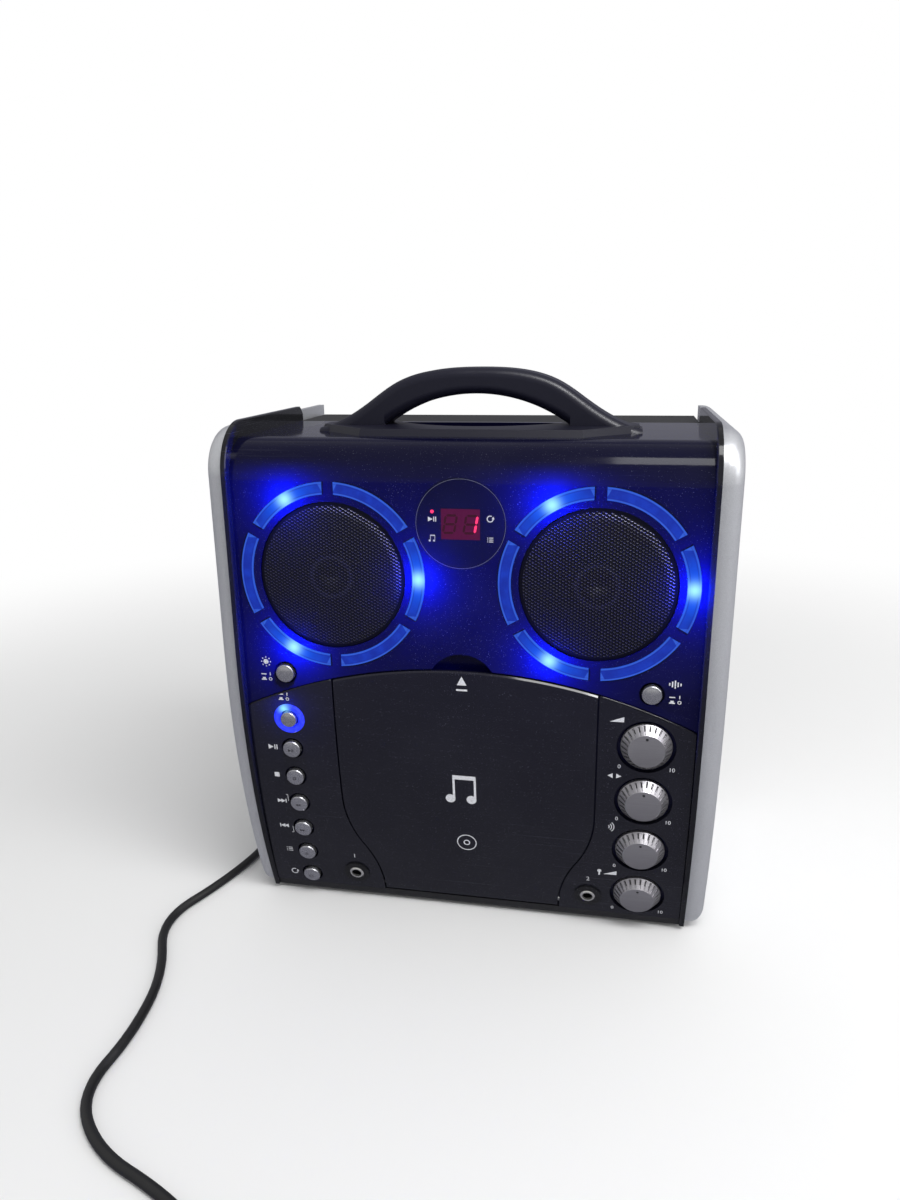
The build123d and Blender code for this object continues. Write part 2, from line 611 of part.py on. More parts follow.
SIDE_CORE_INSET = 4.5
for name, side in sides.items():
    rim_x = side * FACE_HALF_WIDTH
    with BuildPart() as side_rim:
        extrude(rim_profile(0, FOOT_HEIGHT, FACE_Y + RIM_END_DEPTH), amount=side * RIM_THICKNESS)
        extrude(rim_profile(RIM_WIDTH, 0, REAR_Y), amount=side * RIM_THICKNESS, mode=Mode.SUBTRACT)
        end_edge = side_rim.edges().filter_by(Axis.X).group_by(Axis.Z)[-1].sort_by(Axis.Y)[-1]
        chamfer(end_edge, 4.5)
        chamfer(side_rim.faces().sort_by(Axis.X)[0 if side > 0 else -1].edges(), 0.6)
    side_rim.part.locate(Location((rim_x, 0, 0)))
    keep(side_rim, f"side_rim_{name}")

    with BuildPart() as side_panel:
        extrude(side_outline(SIDE_INSET, SIDE_INSET), amount=side * (RIM_THICKNESS + SIDE_BULGE))
        outer = side_panel.faces().sort_by(Axis.X)[-1 if side > 0 else 0]
        fillet(outer.edges(), SIDE_ROUNDING)
        extrude(rim_profile(0, 0, REAR_Y + WALL), amount=side * RIM_THICKNESS, mode=Mode.SUBTRACT)
        extrude(side_outline(RIM_WIDTH, SIDE_INSET), amount=side * RIM_THICKNESS)
        core = side_outline(RIM_WIDTH + SIDE_WALL, SIDE_INSET + SIDE_CORE_INSET)
        extrude(core, amount=side * (RIM_THICKNESS + SIDE_BULGE - SIDE_WALL), mode=Mode.SUBTRACT)
    side_panel.part.locate(Location((rim_x, 0, 0)))
    keep(side_panel, f"side_panel_{name}")


# ------------------------------------------------------------------ carry handle

HANDLE_FOOT_HALF = 64.0
HANDLE_EDGE = 5.0
SHOULDER_LOW = (66.0, 16.5)  # from the middle, above the top
SHOULDER_HIGH = (48.0, 28.5)
handle_y = FACE_Y + HANDLE_DEPTH
pad_top_z = BODY_TOP_Z + HANDLE_PAD

with BuildPart() as carry_handle:
    with BuildSketch(Plane.XZ.offset(-(handle_y + HANDLE_THICKNESS / 2))):
        with BuildLine():
            Spline(
                (-HANDLE_HALF_SPAN, BODY_TOP_Z + 2),
                (-SHOULDER_LOW[0], BODY_TOP_Z + SHOULDER_LOW[1]),
                (-SHOULDER_HIGH[0], BODY_TOP_Z + SHOULDER_HIGH[1]),
                (0, HANDLE_TOP_Z),
                (SHOULDER_HIGH[0], BODY_TOP_Z + SHOULDER_HIGH[1]),
                (SHOULDER_LOW[0], BODY_TOP_Z + SHOULDER_LOW[1]),
                (HANDLE_HALF_SPAN, BODY_TOP_Z + 2),
            )
            Polyline(
                (HANDLE_HALF_SPAN, BODY_TOP_Z + 2),
                (HANDLE_HALF_SPAN, BODY_TOP_Z),
                (-HANDLE_HALF_SPAN, BODY_TOP_Z),
                (-HANDLE_HALF_SPAN, BODY_TOP_Z + 2),
            )
        make_face()
        with BuildLine():
            ThreePointArc(
                (-HANDLE_OPENING_HALF, pad_top_z), (0, HANDLE_OPENING_Z), (HANDLE_OPENING_HALF, pad_top_z)
            )
            Polyline(
                (HANDLE_OPENING_HALF, pad_top_z),
                (HANDLE_OPENING_HALF, BODY_TOP_Z),
                (-HANDLE_OPENING_HALF, BODY_TOP_Z),
                (-HANDLE_OPENING_HALF, pad_top_z),
            )
        make_face(mode=Mode.SUBTRACT)
    extrude(amount=HANDLE_THICKNESS)
    handle_edges = carry_handle.edges()
    fillet(handle_edges.filter_by(GeomType.BSPLINE) + handle_edges.filter_by(GeomType.CIRCLE), HANDLE_EDGE)
    with BuildSketch(Plane.XY.offset(BODY_TOP_Z)):
        with Locations((0, handle_y - HANDLE_DEPTH)):
            Polygon(
                (-HANDLE_FOOT_HALF, 28),
                (HANDLE_FOOT_HALF, 28),
                (HANDLE_HALF_SPAN, 58),
                (HANDLE_HALF_SPAN, HANDLE_PAD_DEPTH),
                (HANDLE_FOOT_HALF, 100),
                (-HANDLE_FOOT_HALF, 100),
                (-HANDLE_HALF_SPAN, HANDLE_PAD_DEPTH),
                (-HANDLE_HALF_SPAN, 58),
                align=None,
            )
    extrude(amount=HANDLE_PAD, taper=25)
    with BuildSketch(Plane.XY.offset(BODY_TOP_Z)):
        with Locations(pocket.origin):
            Circle(SCOOP_RADIUS)
    extrude(amount=HANDLE_PAD, mode=Mode.SUBTRACT)
keep(carry_handle, "carry_handle")


# ------------------------------------------------------------------ control panels, door and hinge

ARCH_CHAMFER = 0.9
DOOR_BOTTOM_Z = PANEL_BOTTOM_Z + 0.6
EAR_RADIUS = 2.6
EAR_INNER = 46.0
EAR_OUTER = 56.0
PIN_INNER = 47.5
HOOK_HALF_WIDTH = 4.0
HOOK_LOW_Z = 156.0
HOOK_HEIGHT = 2.5
HOOK_REACH = -7.0
CATCH_HALF_WIDTH = 9.0
CATCH_THICKNESS = 3.2

for name, side in sides.items():
    with BuildPart() as control_panel:
        panel_blank(PANEL_BOTTOM_Z + PANEL_GAP)
        with BuildSketch(FRONT_ZONE):
            with BuildLine():
                door_edge(DOOR_GAP, side)
                Polyline(
                    (side * (DOOR_HALF_FOOT + DOOR_GAP), 0),
                    (side * REACH, 0),
                    (side * REACH, BODY_TOP_Z),
                    (side * (DOOR_HALF_TOP + DOOR_GAP), BODY_TOP_Z),
                )
            make_face()
        extrude(amount=REACH, mode=Mode.INTERSECT)
        extrude(below_arch(-PANEL_GAP), amount=REACH, mode=Mode.INTERSECT)
        arch_edge = control_panel.edges().sort_by(lambda edge: edge.center().Z - edge.center().Y)[-1]
        chamfer(arch_edge, ARCH_CHAMFER)
        if side < 0:
            rod(power, POWER_RING_OUTER, -PANEL, PANEL, Mode.SUBTRACT)
            for z in small_button_z:
                rod(face_plane(-BUTTON_X, z), WELL_RADIUS, -PANEL, PANEL, Mode.SUBTRACT)
        else:
            for z in knob_z:
                rod(face_plane(KNOB_X, z), KNOB_WELL_RADIUS, -PANEL, PANEL, Mode.SUBTRACT)
        rod(face_plane(side * JACK_X, JACK_Z), JACK_BARREL_RADIUS + 0.15, -PANEL, PANEL, Mode.SUBTRACT)
        hinge_groove(HINGE_PIN_RADIUS + RUNNING_FIT, Mode.SUBTRACT)
    keep(control_panel, f"control_panel_{name}")

with BuildPart() as disc_door:
    panel_blank(DOOR_BOTTOM_Z)
    with BuildSketch(FRONT_ZONE):
        with BuildLine():
            door_edge(0, 1)
            Line((DOOR_HALF_FOOT, 0), (-DOOR_HALF_FOOT, 0))
            door_edge(0, -1)
            Line((-DOOR_HALF_TOP, BODY_TOP_Z), (DOOR_HALF_TOP, BODY_TOP_Z))
        make_face()
    extrude(amount=REACH, mode=Mode.INTERSECT)
    extrude(below_arch(-DOOR_GAP), amount=REACH, mode=Mode.INTERSECT)
    arch_edge = disc_door.edges().sort_by(lambda edge: edge.center().Z - edge.center().Y)[-1]
    chamfer(arch_edge, ARCH_CHAMFER)
    level_edges = disc_door.edges().filter_by(Axis.X)
    foot_edge = level_edges.sort_by(lambda edge: edge.center().Z + edge.center().Y)[0]
    chamfer(foot_edge, PANEL / 2)
    for side in sides.values():
        ear_start = min(side * EAR_INNER, side * EAR_OUTER)
        ear_end = ear_start + EAR_OUTER - EAR_INNER
        rod(hinge_line, EAR_RADIUS, ear_start, ear_end)
        rod(hinge_line, HINGE_PIN_RADIUS, ear_start - 1, ear_end + 1, Mode.SUBTRACT)
    hook = face_plane(0, HOOK_LOW_Z + HOOK_HEIGHT / 2)
    block(hook, 2 * HOOK_HALF_WIDTH, HOOK_HEIGHT, HOOK_REACH, -PANEL_SEAT + PANEL / 2)
    block(shifted(hook, 0, HOOK_HEIGHT / 2), 2 * HOOK_HALF_WIDTH, 1.2, HOOK_REACH, HOOK_REACH + 1.6)
keep(disc_door, "disc_door")

with BuildPart() as hinge_pins:
    for side in sides.values():
        pin_start = min(side * PIN_INNER, side * (PIN_INNER + HINGE_PIN_LENGTH))
        rod(hinge_line, HINGE_PIN_RADIUS, pin_start, pin_start + HINGE_PIN_LENGTH)
keep(hinge_pins, "hinge_pins")

with BuildPart() as door_catch:  # a leaf clip above the door's hook
    catch = face_plane(0, CATCH_TOP_Z + CATCH_THICKNESS / 2)
    block(catch, 2 * CATCH_HALF_WIDTH, CATCH_THICKNESS, -SUB_BACK - 4.2, -SUB_BACK - 0.05)
keep(door_catch, "door_catch")


# ------------------------------------------------------------------ disc bay and mechanism

HUB_HOLE = 17.0
LENS_SLOT_END = 62.0
LENS_SLOT_HALF = 7.6
POST_RADIUS = 4.0
post_places = [(-48, -34), (-48, 34), (48, -34), (28, 38)]
CHASSIS_LEFT = -54.0
CHASSIS_RIGHT = 74.0
CHASSIS_HALF_HEIGHT = 43.0
ROD_HEIGHT = -19.4
LUG_WIDTH = 8.0
LUG_THICKNESS = 4.0
LUG_PLACES = (10.0, 70.0)
SLED_HALF_LENGTH = 11.0
SLED_HALF_HEIGHT = 24.6
SLED_TOP = -17.2
SLED_BOTTOM = -21.8
LENS_BLOCK = 12.0
LENS_TOP = -12.8
RACK_LEFT = 12.0
RACK_RIGHT = 50.0
RACK_THICKNESS = 2.4
TOOTH_PITCH = 2 * math.pi * PINION_RADIUS / PINION_TEETH
TOOTH_DEPTH = 1.6
TOOTH_TIP = 0.6
TOOTH_ROOT = 1.1
PINION_X = 46.0
PINION_Y = SLED_HALF_HEIGHT + RACK_THICKNESS + TOOTH_DEPTH / 2 + PINION_RADIUS
PINION_TIP_RADIUS = PINION_RADIUS + 0.6
PINION_ROOT_RADIUS = PINION_RADIUS - 0.9
PINION_FRONT = -17.4
PINION_BACK = -20.4
MOTOR_SHAFT = 1.0
SPINDLE_MOTOR_RADIUS = 11.0
SLED_MOTOR_RADIUS = 7.0
MOTOR_LENGTH = 12.0
TURNTABLE_RADIUS = 15.0
HUB_TOP = -6.5
chassis_back = CHASSIS_FRONT - CHASSIS
pinion_place = shifted(bay, PINION_X, PINION_Y)

with BuildPart() as disc_well:
    rod(bay, WELL_RADIUS_DISC + WELL_RIM, WELL_FLOOR - WELL_SKIN, 2 * SUB_BACK)
    finger_notches(NOTCH_RADIUS + SUB_WALL, WELL_FLOOR - WELL_SKIN, 2 * SUB_BACK, Mode.ADD)
    extrude(behind_face(-SUB_BACK, 0, REAR_Y), amount=REACH, both=True, mode=Mode.INTERSECT)
    rod(bay, WELL_RADIUS_DISC, WELL_FLOOR, 2 * SUB_BACK, Mode.SUBTRACT)
    finger_notches(NOTCH_RADIUS, WELL_FLOOR, 2 * SUB_BACK, Mode.SUBTRACT)
    rod(bay, HUB_HOLE, WELL_FLOOR - 2 * WELL_SKIN, 0, Mode.SUBTRACT)
    with Locations(shifted(bay, LENS_SLOT_END / 2, 0)):
        Box(LENS_SLOT_END, 2 * LENS_SLOT_HALF, REACH / 4, mode=Mode.SUBTRACT)
    with Locations(shifted(bay, 0, WELL_RADIUS_DISC)):
        Box(2 * CATCH_HALF_WIDTH + 1, 3 * WELL_RIM, 7 * SUB_BACK, mode=Mode.SUBTRACT)
    with Locations(bay.offset(CHASSIS_FRONT)):
        with Locations(*post_places):
            Cylinder(POST_RADIUS, WELL_FLOOR - WELL_SKIN - CHASSIS_FRONT + WELL_SKIN / 2, align=FROM_BACK)
keep(disc_well, "disc_well")


def rod_line(y):
    """The plane that a guide rod of the sled runs out of, y mm up the bay."""
    return Plane(origin=shifted(bay, 0, y).offset(ROD_HEIGHT).origin, x_dir=bay.y_dir, z_dir=bay.x_dir)


with BuildPart() as mech_chassis:
    plate = shifted(bay, (CHASSIS_LEFT + CHASSIS_RIGHT) / 2, 0)
    block(plate, CHASSIS_RIGHT - CHASSIS_LEFT, 2 * CHASSIS_HALF_HEIGHT, chassis_back, CHASSIS_FRONT)
    for x in LUG_PLACES:
        for y in (-ROD_SPACING / 2, ROD_SPACING / 2):
            block(shifted(bay, x, y), LUG_THICKNESS, LUG_WIDTH, chassis_back, SLED_TOP)
    for y in (-ROD_SPACING / 2, ROD_SPACING / 2):
        rod(rod_line(y), ROD_RADIUS, 0, REACH / 4, Mode.SUBTRACT)
    rod(bay, 3 * MOTOR_SHAFT, chassis_back - 1, 0, Mode.SUBTRACT)
    rod(pinion_place, 1.5 * MOTOR_SHAFT, chassis_back - 1, 0, Mode.SUBTRACT)
keep(mech_chassis, "mech_chassis")

with BuildPart() as sled_rods:
    for y in (-ROD_SPACING / 2, ROD_SPACING / 2):
        rod(rod_line(y), ROD_RADIUS, LUG_PLACES[0] - LUG_THICKNESS / 2, LUG_PLACES[1] + LUG_THICKNESS / 2)
keep(sled_rods, "sled_rods")

with BuildPart() as pickup_sled:
    block(shifted(bay, SLED_REST_X, 0), 2 * SLED_HALF_LENGTH, 2 * SLED_HALF_HEIGHT, SLED_BOTTOM, SLED_TOP)
    block(shifted(bay, SLED_REST_X, 0), LENS_BLOCK, LENS_BLOCK, SLED_TOP - 1, LENS_TOP)
    rack = shifted(bay, (RACK_LEFT + RACK_RIGHT) / 2, SLED_HALF_HEIGHT + RACK_THICKNESS / 2)
    block(rack, RACK_RIGHT - RACK_LEFT, RACK_THICKNESS, PINION_BACK, PINION_FRONT)
    with BuildSketch(shifted(bay, PINION_X, SLED_HALF_HEIGHT + RACK_THICKNESS).offset(PINION_BACK)):
        first = -math.floor((PINION_X - RACK_LEFT - TOOTH_ROOT / 2) / TOOTH_PITCH)
        last = math.floor((RACK_RIGHT - PINION_X - TOOTH_ROOT / 2) / TOOTH_PITCH)
        with Locations(*[(i * TOOTH_PITCH, 0) for i in range(first, last + 1)]):
            Polygon(
                (-TOOTH_ROOT / 2, -0.2),
                (TOOTH_ROOT / 2, -0.2),
                (TOOTH_TIP / 2, TOOTH_DEPTH),
                (-TOOTH_TIP / 2, TOOTH_DEPTH),
                align=None,
            )
    extrude(amount=PINION_FRONT - PINION_BACK)
    for y in (-ROD_SPACING / 2, ROD_SPACING / 2):
        rod(rod_line(y), ROD_RADIUS + 2 * RUNNING_FIT, 0, REACH / 4, Mode.SUBTRACT)
    rod(shifted(bay, SLED_REST_X, 0), 2.5, LENS_TOP - 0.8, LENS_TOP + 1, Mode.SUBTRACT)
keep(pickup_sled, "pickup_sled")

with BuildPart() as sled_pinion:
    rod(pinion_place, PINION_ROOT_RADIUS, PINION_BACK, PINION_FRONT)
    with BuildSketch(pinion_place.offset(PINION_BACK)):
        with PolarLocations(0, PINION_TEETH, start_angle=-90 + 180 / PINION_TEETH):
            Polygon(
                (PINION_ROOT_RADIUS - 0.3, -TOOTH_ROOT / 2),
                (PINION_TIP_RADIUS, -TOOTH_TIP / 2),
                (PINION_TIP_RADIUS, TOOTH_TIP / 2),
                (PINION_ROOT_RADIUS - 0.3, TOOTH_ROOT / 2),
                align=None,
            )
    extrude(amount=PINION_FRONT - PINION_BACK)
    rod(pinion_place, MOTOR_SHAFT, chassis_back - MOTOR_LENGTH + 1, PINION_BACK + 1)
keep(sled_pinion, "sled_pinion")

with BuildPart() as sled_motor:
    rod(pinion_place, SLED_MOTOR_RADIUS, chassis_back - MOTOR_LENGTH, chassis_back)
    rod(pinion_place, MOTOR_SHAFT + RUNNING_FIT, chassis_back - MOTOR_LENGTH + 0.5, 0, Mode.SUBTRACT)
keep(sled_motor, "sled_motor")

with BuildPart() as spindle_motor:
    rod(bay, SPINDLE_MOTOR_RADIUS, chassis_back - MOTOR_LENGTH, chassis_back)
    rod(bay, 2.8 * MOTOR_SHAFT, chassis_back - 1, CHASSIS_FRONT + 1)
    rod(bay, MOTOR_SHAFT + RUNNING_FIT, chassis_back - MOTOR_LENGTH + 0.5, 0, Mode.SUBTRACT)
keep(spindle_motor, "spindle_motor")

with BuildPart() as turntable:
    rod(bay, TURNTABLE_RADIUS, DISC_PLANE - 2, DISC_PLANE)
    rod(bay, HUB_RADIUS, DISC_PLANE - 1, HUB_TOP)
    chamfer(turntable.faces().sort_by(lambda face: face.center().Y)[0].edges(), 1.2)
    with BuildSketch(bay.offset(HUB_TOP)):
        with PolarLocations(HUB_RADIUS * 0.62, 3):
            RectangleRounded(2.2, 4.6, 1.0)
    extrude(amount=-1.2, mode=Mode.SUBTRACT)
keep(turntable, "turntable")

with BuildPart() as spindle_shaft:
    rod(bay, MOTOR_SHAFT, chassis_back - MOTOR_LENGTH + 1, DISC_PLANE - 2)
keep(spindle_shaft, "spindle_shaft")


# ------------------------------------------------------------------ speakers and light rings

GRILLE_LIP = 3.0
GRILLE_SINK = 1.0  # the dome starts this far below the face
GRILLE_DOME = 0.8  # and rises this far above it
FLANGE_MARGIN = 0.6
CONE_MOUTH = 41.5
BASKET_FLOOR = -31.5
MAGNET_RADIUS = 30.0

dome_rim = GRILLE_RADIUS - 0.2
dome_rise = GRILLE_DOME + GRILLE_SINK
dome_radius = (dome_rim**2 + dome_rise**2) / (2 * dome_rise)


def dome_point(radius, inset):
    """A point of the grille's shallow dome, seen from the side."""
    return (radius, GRILLE_DOME - dome_radius + math.sqrt((dome_radius - inset) ** 2 - radius**2))


for name, x in speakers.items():
    seat = face_plane(x, SPEAKER_Z)

    with BuildPart() as grille:
        with BuildSketch(profile_plane(seat)):
            with BuildLine():
                ThreePointArc(dome_point(0, 0), dome_point(GRILLE_RADIUS / 2, 0), dome_point(dome_rim, 0))
                Polyline(
                    dome_point(dome_rim, 0),
                    (dome_rim, -WALL),
                    (GRILLE_RADIUS + GRILLE_LIP, -WALL),
                    (GRILLE_RADIUS + GRILLE_LIP, -WALL - GRILLE_SHEET),
                    (dome_rim - GRILLE_SHEET, -WALL - GRILLE_SHEET),
                    dome_point(dome_rim - GRILLE_SHEET, GRILLE_SHEET),
                )
                ThreePointArc(
                    dome_point(dome_rim - GRILLE_SHEET, GRILLE_SHEET),
                    dome_point(GRILLE_RADIUS / 2, GRILLE_SHEET),
                    dome_point(0, GRILLE_SHEET),
                )
                Line(dome_point(0, GRILLE_SHEET), dome_point(0, 0))
            make_face()
        revolve(axis=Axis(seat.origin, seat.z_dir))
    keep(grille, f"grille_{name}")

    with BuildPart() as light_ring:
        with BuildSketch(seat.offset(LIGHT_GUIDE_BACK)):
            Circle(RING_OUTER + FLANGE_MARGIN)
            Circle(RING_INNER - FLANGE_MARGIN, mode=Mode.SUBTRACT)
        extrude(amount=LIGHT_GUIDE - 2 * RUNNING_FIT)
        with BuildSketch(seat.offset(LIGHT_GUIDE_BACK + 1)):
            ring_outline(-2 * RUNNING_FIT)
        extrude(amount=RING_PROUD - LIGHT_GUIDE_BACK - 1)
    keep(light_ring, f"light_ring_{name}")

with BuildPart() as speaker_baskets:
    for x in speakers.values():
        seat = face_plane(x, SPEAKER_Z)
        block(seat, SPEAKER_SQUARE, SPEAKER_SQUARE, SPEAKER_SEAT - 1.5, SPEAKER_SEAT)
        rod(seat, CONE_MOUTH, SPEAKER_SEAT - 2, SPEAKER_SEAT + 1, Mode.SUBTRACT)
        turned(
            seat,
            (CONE_MOUTH, SPEAKER_SEAT),
            (CONE_MOUTH + 3, SPEAKER_SEAT - 1),
            (MAGNET_RADIUS + 3, BASKET_FLOOR),
            (MAGNET_RADIUS, BASKET_FLOOR - 1),
            (MAGNET_RADIUS, SPEAKER_SEAT - SPEAKER_DEPTH),
            (0, SPEAKER_SEAT - SPEAKER_DEPTH),
            (0, BASKET_FLOOR),
            (MAGNET_RADIUS, BASKET_FLOOR),
            (CONE_MOUTH, SPEAKER_SEAT - 4),
        )
        with Locations(seat.offset(SPEAKER_SEAT - 2)):
            with GridLocations(SPEAKER_SCREW_SPACING, SPEAKER_SCREW_SPACING, 2, 2):
                Cylinder(SCREW_RADIUS + 0.2, 3, align=FROM_BACK, mode=Mode.SUBTRACT)
keep(speaker_baskets, "speaker_baskets")

with BuildPart() as speaker_cones:
    for x in speakers.values():
        turned(
            face_plane(x, SPEAKER_Z),
            (CONE_MOUTH - 0.2, SPEAKER_SEAT - 0.5),
            (CONE_MOUTH - 2.5, SPEAKER_SEAT + 1),
            (CONE_MOUTH - 5, SPEAKER_SEAT - 0.5),
            (12, SPEAKER_SEAT - 13),
            (8, SPEAKER_SEAT - 9),
            (0, SPEAKER_SEAT - 7),
            (0, SPEAKER_SEAT - 8.2),
            (8, SPEAKER_SEAT - 10.4),
            (12, SPEAKER_SEAT - 14.2),
            (CONE_MOUTH - 5.4, SPEAKER_SEAT - 2),
            (CONE_MOUTH - 2.5, SPEAKER_SEAT - 0.4),
            (CONE_MOUTH - 0.2, SPEAKER_SEAT - 2),
        )
keep(speaker_cones, "speaker_cones")

with BuildPart() as led_boards:
    for x in speakers.values():
        with BuildSketch(face_plane(x, SPEAKER_Z, SPEAKER_SEAT)):
            Circle(RING_OUTER + FLANGE_MARGIN)
            Circle(RING_INNER - FLANGE_MARGIN, mode=Mode.SUBTRACT)
    extrude(amount=BOARD)
keep(led_boards, "led_boards")


# ------------------------------------------------------------------ display

LENS_FLANGE_RADIUS = DISPLAY_RADIUS + 1
MODULE_WIDTH = 32.0
MODULE_HEIGHT = 66.0

with BuildPart() as display_lens:
    rod(display, DISPLAY_RADIUS - RUNNING_FIT, -WALL - 0.5, RING_PROUD / 2)
    rod(display, LENS_FLANGE_RADIUS, -WALL - 1, -WALL)
keep(display_lens, "display_lens")

with BuildPart() as display_module:
    block(display, MODULE_WIDTH, MODULE_HEIGHT, DISPLAY_BOARD_FRONT - BOARD, DISPLAY_BOARD_FRONT)
    block(display, DIGITS_WIDTH, DIGITS_HEIGHT, DISPLAY_BOARD_FRONT, -WALL - 1.3)
    rod(shifted(display, -14.5, 0), 1.5, DISPLAY_BOARD_FRONT, -WALL - 1.3)
keep(display_module, "display_module")


# ------------------------------------------------------------------ push buttons

CAP_BOTTOM = -1.4  # below the surface that a button stands in
CAP_EDGE = 1.0
STEM_LENGTH = 10.2
SWITCH_SIZE = 12.0
SWITCH_LENGTH = 14.0
SWITCH_BORE = 3.0
PRESS_ROOM = 0.4
TACT_SIZE = 6.0
TACT_LENGTH = 4.5
BOARD_OFFSET = 1.5
BOARD_HALF_WIDTH = 11.0
BOARD_MARGIN = 7.0
STANDOFF_RADIUS = 2.4


def push_button(surface, radius):
    """A domed cap and its stem, standing in a surface."""
    rod(surface, radius, CAP_BOTTOM, BUTTON_PROUD - CAP_EDGE)
    rod(surface, radius, BUTTON_PROUD - CAP_EDGE, BUTTON_PROUD)
    rod(surface, STEM_RADIUS, -STEM_LENGTH, CAP_BOTTOM)


button_places = dict(upper_buttons)
button_places["power"] = power.offset(PANEL_PROUD)
for name, z in zip(small_buttons, small_button_z):
    button_places[name] = face_plane(-BUTTON_X, z, PANEL_PROUD)

for name, plane in button_places.items():
    cap_radius = POWER_BUTTON_RADIUS if name == "power" else BUTTON_RADIUS
    with BuildPart() as button:
        push_button(plane, cap_radius)
        fillet(button.faces().sort_by(lambda face: face.center().Y)[0].edges(), CAP_EDGE)
    keep(button, f"button_{name}")

with BuildPart() as power_ring:
    turned(
        power,
        (POWER_RING_INNER, -PANEL_SEAT + RUNNING_FIT),
        (POWER_RING_OUTER - 2 * RUNNING_FIT, -PANEL_SEAT + RUNNING_FIT),
        (POWER_RING_OUTER - 2 * RUNNING_FIT, PANEL_PROUD + 0.2),
        (POWER_RING_OUTER - 1.2, PANEL_PROUD + 1.1),
        (POWER_RING_INNER + 1.2, PANEL_PROUD + 1.1),
        (POWER_RING_INNER, PANEL_PROUD + 0.2),
    )
keep(power_ring, "power_ring")

with BuildPart() as latch_switches:
    switch_backs = {"disco_light": GUIDE_BOTTOM, "voice_control": GUIDE_BOTTOM, "power": -SUB_BACK - 0.1}
    for name, back in switch_backs.items():
        place = power if name == "power" else upper_buttons[name]
        block(place, SWITCH_SIZE, SWITCH_SIZE, back - SWITCH_LENGTH, back)
        rod(place, SWITCH_BORE, -STEM_LENGTH - BUTTON_TRAVEL - PRESS_ROOM, 0, Mode.SUBTRACT)
keep(latch_switches, "latch_switches")

TACT_TOP = PANEL_PROUD - STEM_LENGTH - BUTTON_TRAVEL - PRESS_ROOM
upper_tact = face_plane(-BUTTON_X, small_button_z[0], TACT_TOP).origin
lower_tact = face_plane(-BUTTON_X, small_button_z[-1], TACT_TOP).origin
board_up = (upper_tact - lower_tact).normalized()
board_normal = board_up.cross(Vector(1, 0, 0)).normalized() * -1
board_plane = Plane(origin=(upper_tact + lower_tact) / 2, x_dir=(1, 0, 0), z_dir=board_normal)

with BuildPart() as switch_board:
    board_height = (upper_tact - lower_tact).length + 2 * BOARD_MARGIN
    block(board_plane, 2 * BOARD_HALF_WIDTH, board_height, -BOARD_OFFSET - BOARD, -BOARD_OFFSET)
    for z in small_button_z:
        block(face_plane(-BUTTON_X, z), TACT_SIZE, TACT_SIZE, TACT_TOP - TACT_LENGTH, TACT_TOP)
    for z in (small_button_z[0] - BUTTON_PITCH / 2, small_button_z[-1] + BUTTON_PITCH / 2):
        rod(face_plane(-BUTTON_X, z), STANDOFF_RADIUS, TACT_TOP - TACT_LENGTH, -SUB_BACK - RUNNING_FIT)
keep(switch_board, "switch_board")


# ------------------------------------------------------------------ knobs and potentiometers

KNOB_FOOT = -1.4
KNOB_SKIRT = 0.8
KNOB_TOP = PANEL_PROUD + KNOB_PROUD
KNOB_HOLLOW = 11.5
KNOB_ROOF = 3.2
KNOB_HUB = 5.0
HUB_START = 1.4
KNOB_NOTCHES = 26
NOTCH_WIDTH = 1.2
NOTCH_DEPTH = 0.9
POT_RADIUS = 8.5
POT_LENGTH = 9.0
POT_FRONT = -SUB_BACK - 0.1
BUSHING_RADIUS = 3.5
BUSHING_TOP = 1.0
NUT_RADIUS = 5.5
NUT_HEIGHT = 2.0
slope_run = KNOB_RADIUS - KNOB_FACE_RADIUS
slope_rise = KNOB_TOP - KNOB_SKIRT
slope_angle = math.degrees(math.atan2(slope_run, slope_rise))
notch_length = 0.86 * math.hypot(slope_run, slope_rise)

for name, z in zip(knobs, knob_z):
    place = face_plane(KNOB_X, z)
    with BuildPart() as knob:
        turned(
            place,
            (0, KNOB_ROOF),
            (KNOB_HOLLOW - 1.5, KNOB_ROOF),
            (KNOB_HOLLOW, KNOB_FOOT),
            (KNOB_RADIUS, KNOB_FOOT),
            (KNOB_RADIUS, KNOB_SKIRT),
            (KNOB_FACE_RADIUS, KNOB_TOP),
            (0, KNOB_TOP),
        )
        with Locations(place.offset(KNOB_SKIRT + slope_rise / 2)):
            with PolarLocations((KNOB_RADIUS + KNOB_FACE_RADIUS) / 2, KNOB_NOTCHES):
                tilt = (0, -slope_angle, 0)
                Box(2 * NOTCH_DEPTH, NOTCH_WIDTH, notch_length, rotation=tilt, mode=Mode.SUBTRACT)
        rod(place, KNOB_HUB, HUB_START, KNOB_ROOF + 0.5)
        rod(place, SHAFT_RADIUS, POT_FRONT - POT_LENGTH + 1.5, KNOB_ROOF + 0.5)
        rod(shifted(place, 0, KNOB_FACE_RADIUS - 2.6), 0.9, KNOB_TOP - 0.3, KNOB_TOP + 1, Mode.SUBTRACT)
    keep(knob, f"knob_{name}")

with BuildPart() as potentiometers:
    for z in knob_z:
        place = face_plane(KNOB_X, z)
        rod(place, POT_RADIUS, POT_FRONT - POT_LENGTH, POT_FRONT)
        rod(place, BUSHING_RADIUS, POT_FRONT, BUSHING_TOP)
        rod(place, NUT_RADIUS, -PANEL_SEAT, -PANEL_SEAT + NUT_HEIGHT)
        rod(place, SHAFT_RADIUS + RUNNING_FIT, POT_FRONT - POT_LENGTH + 1, BUSHING_TOP + 1, Mode.SUBTRACT)
keep(potentiometers, "potentiometers")


# ------------------------------------------------------------------ microphone jacks

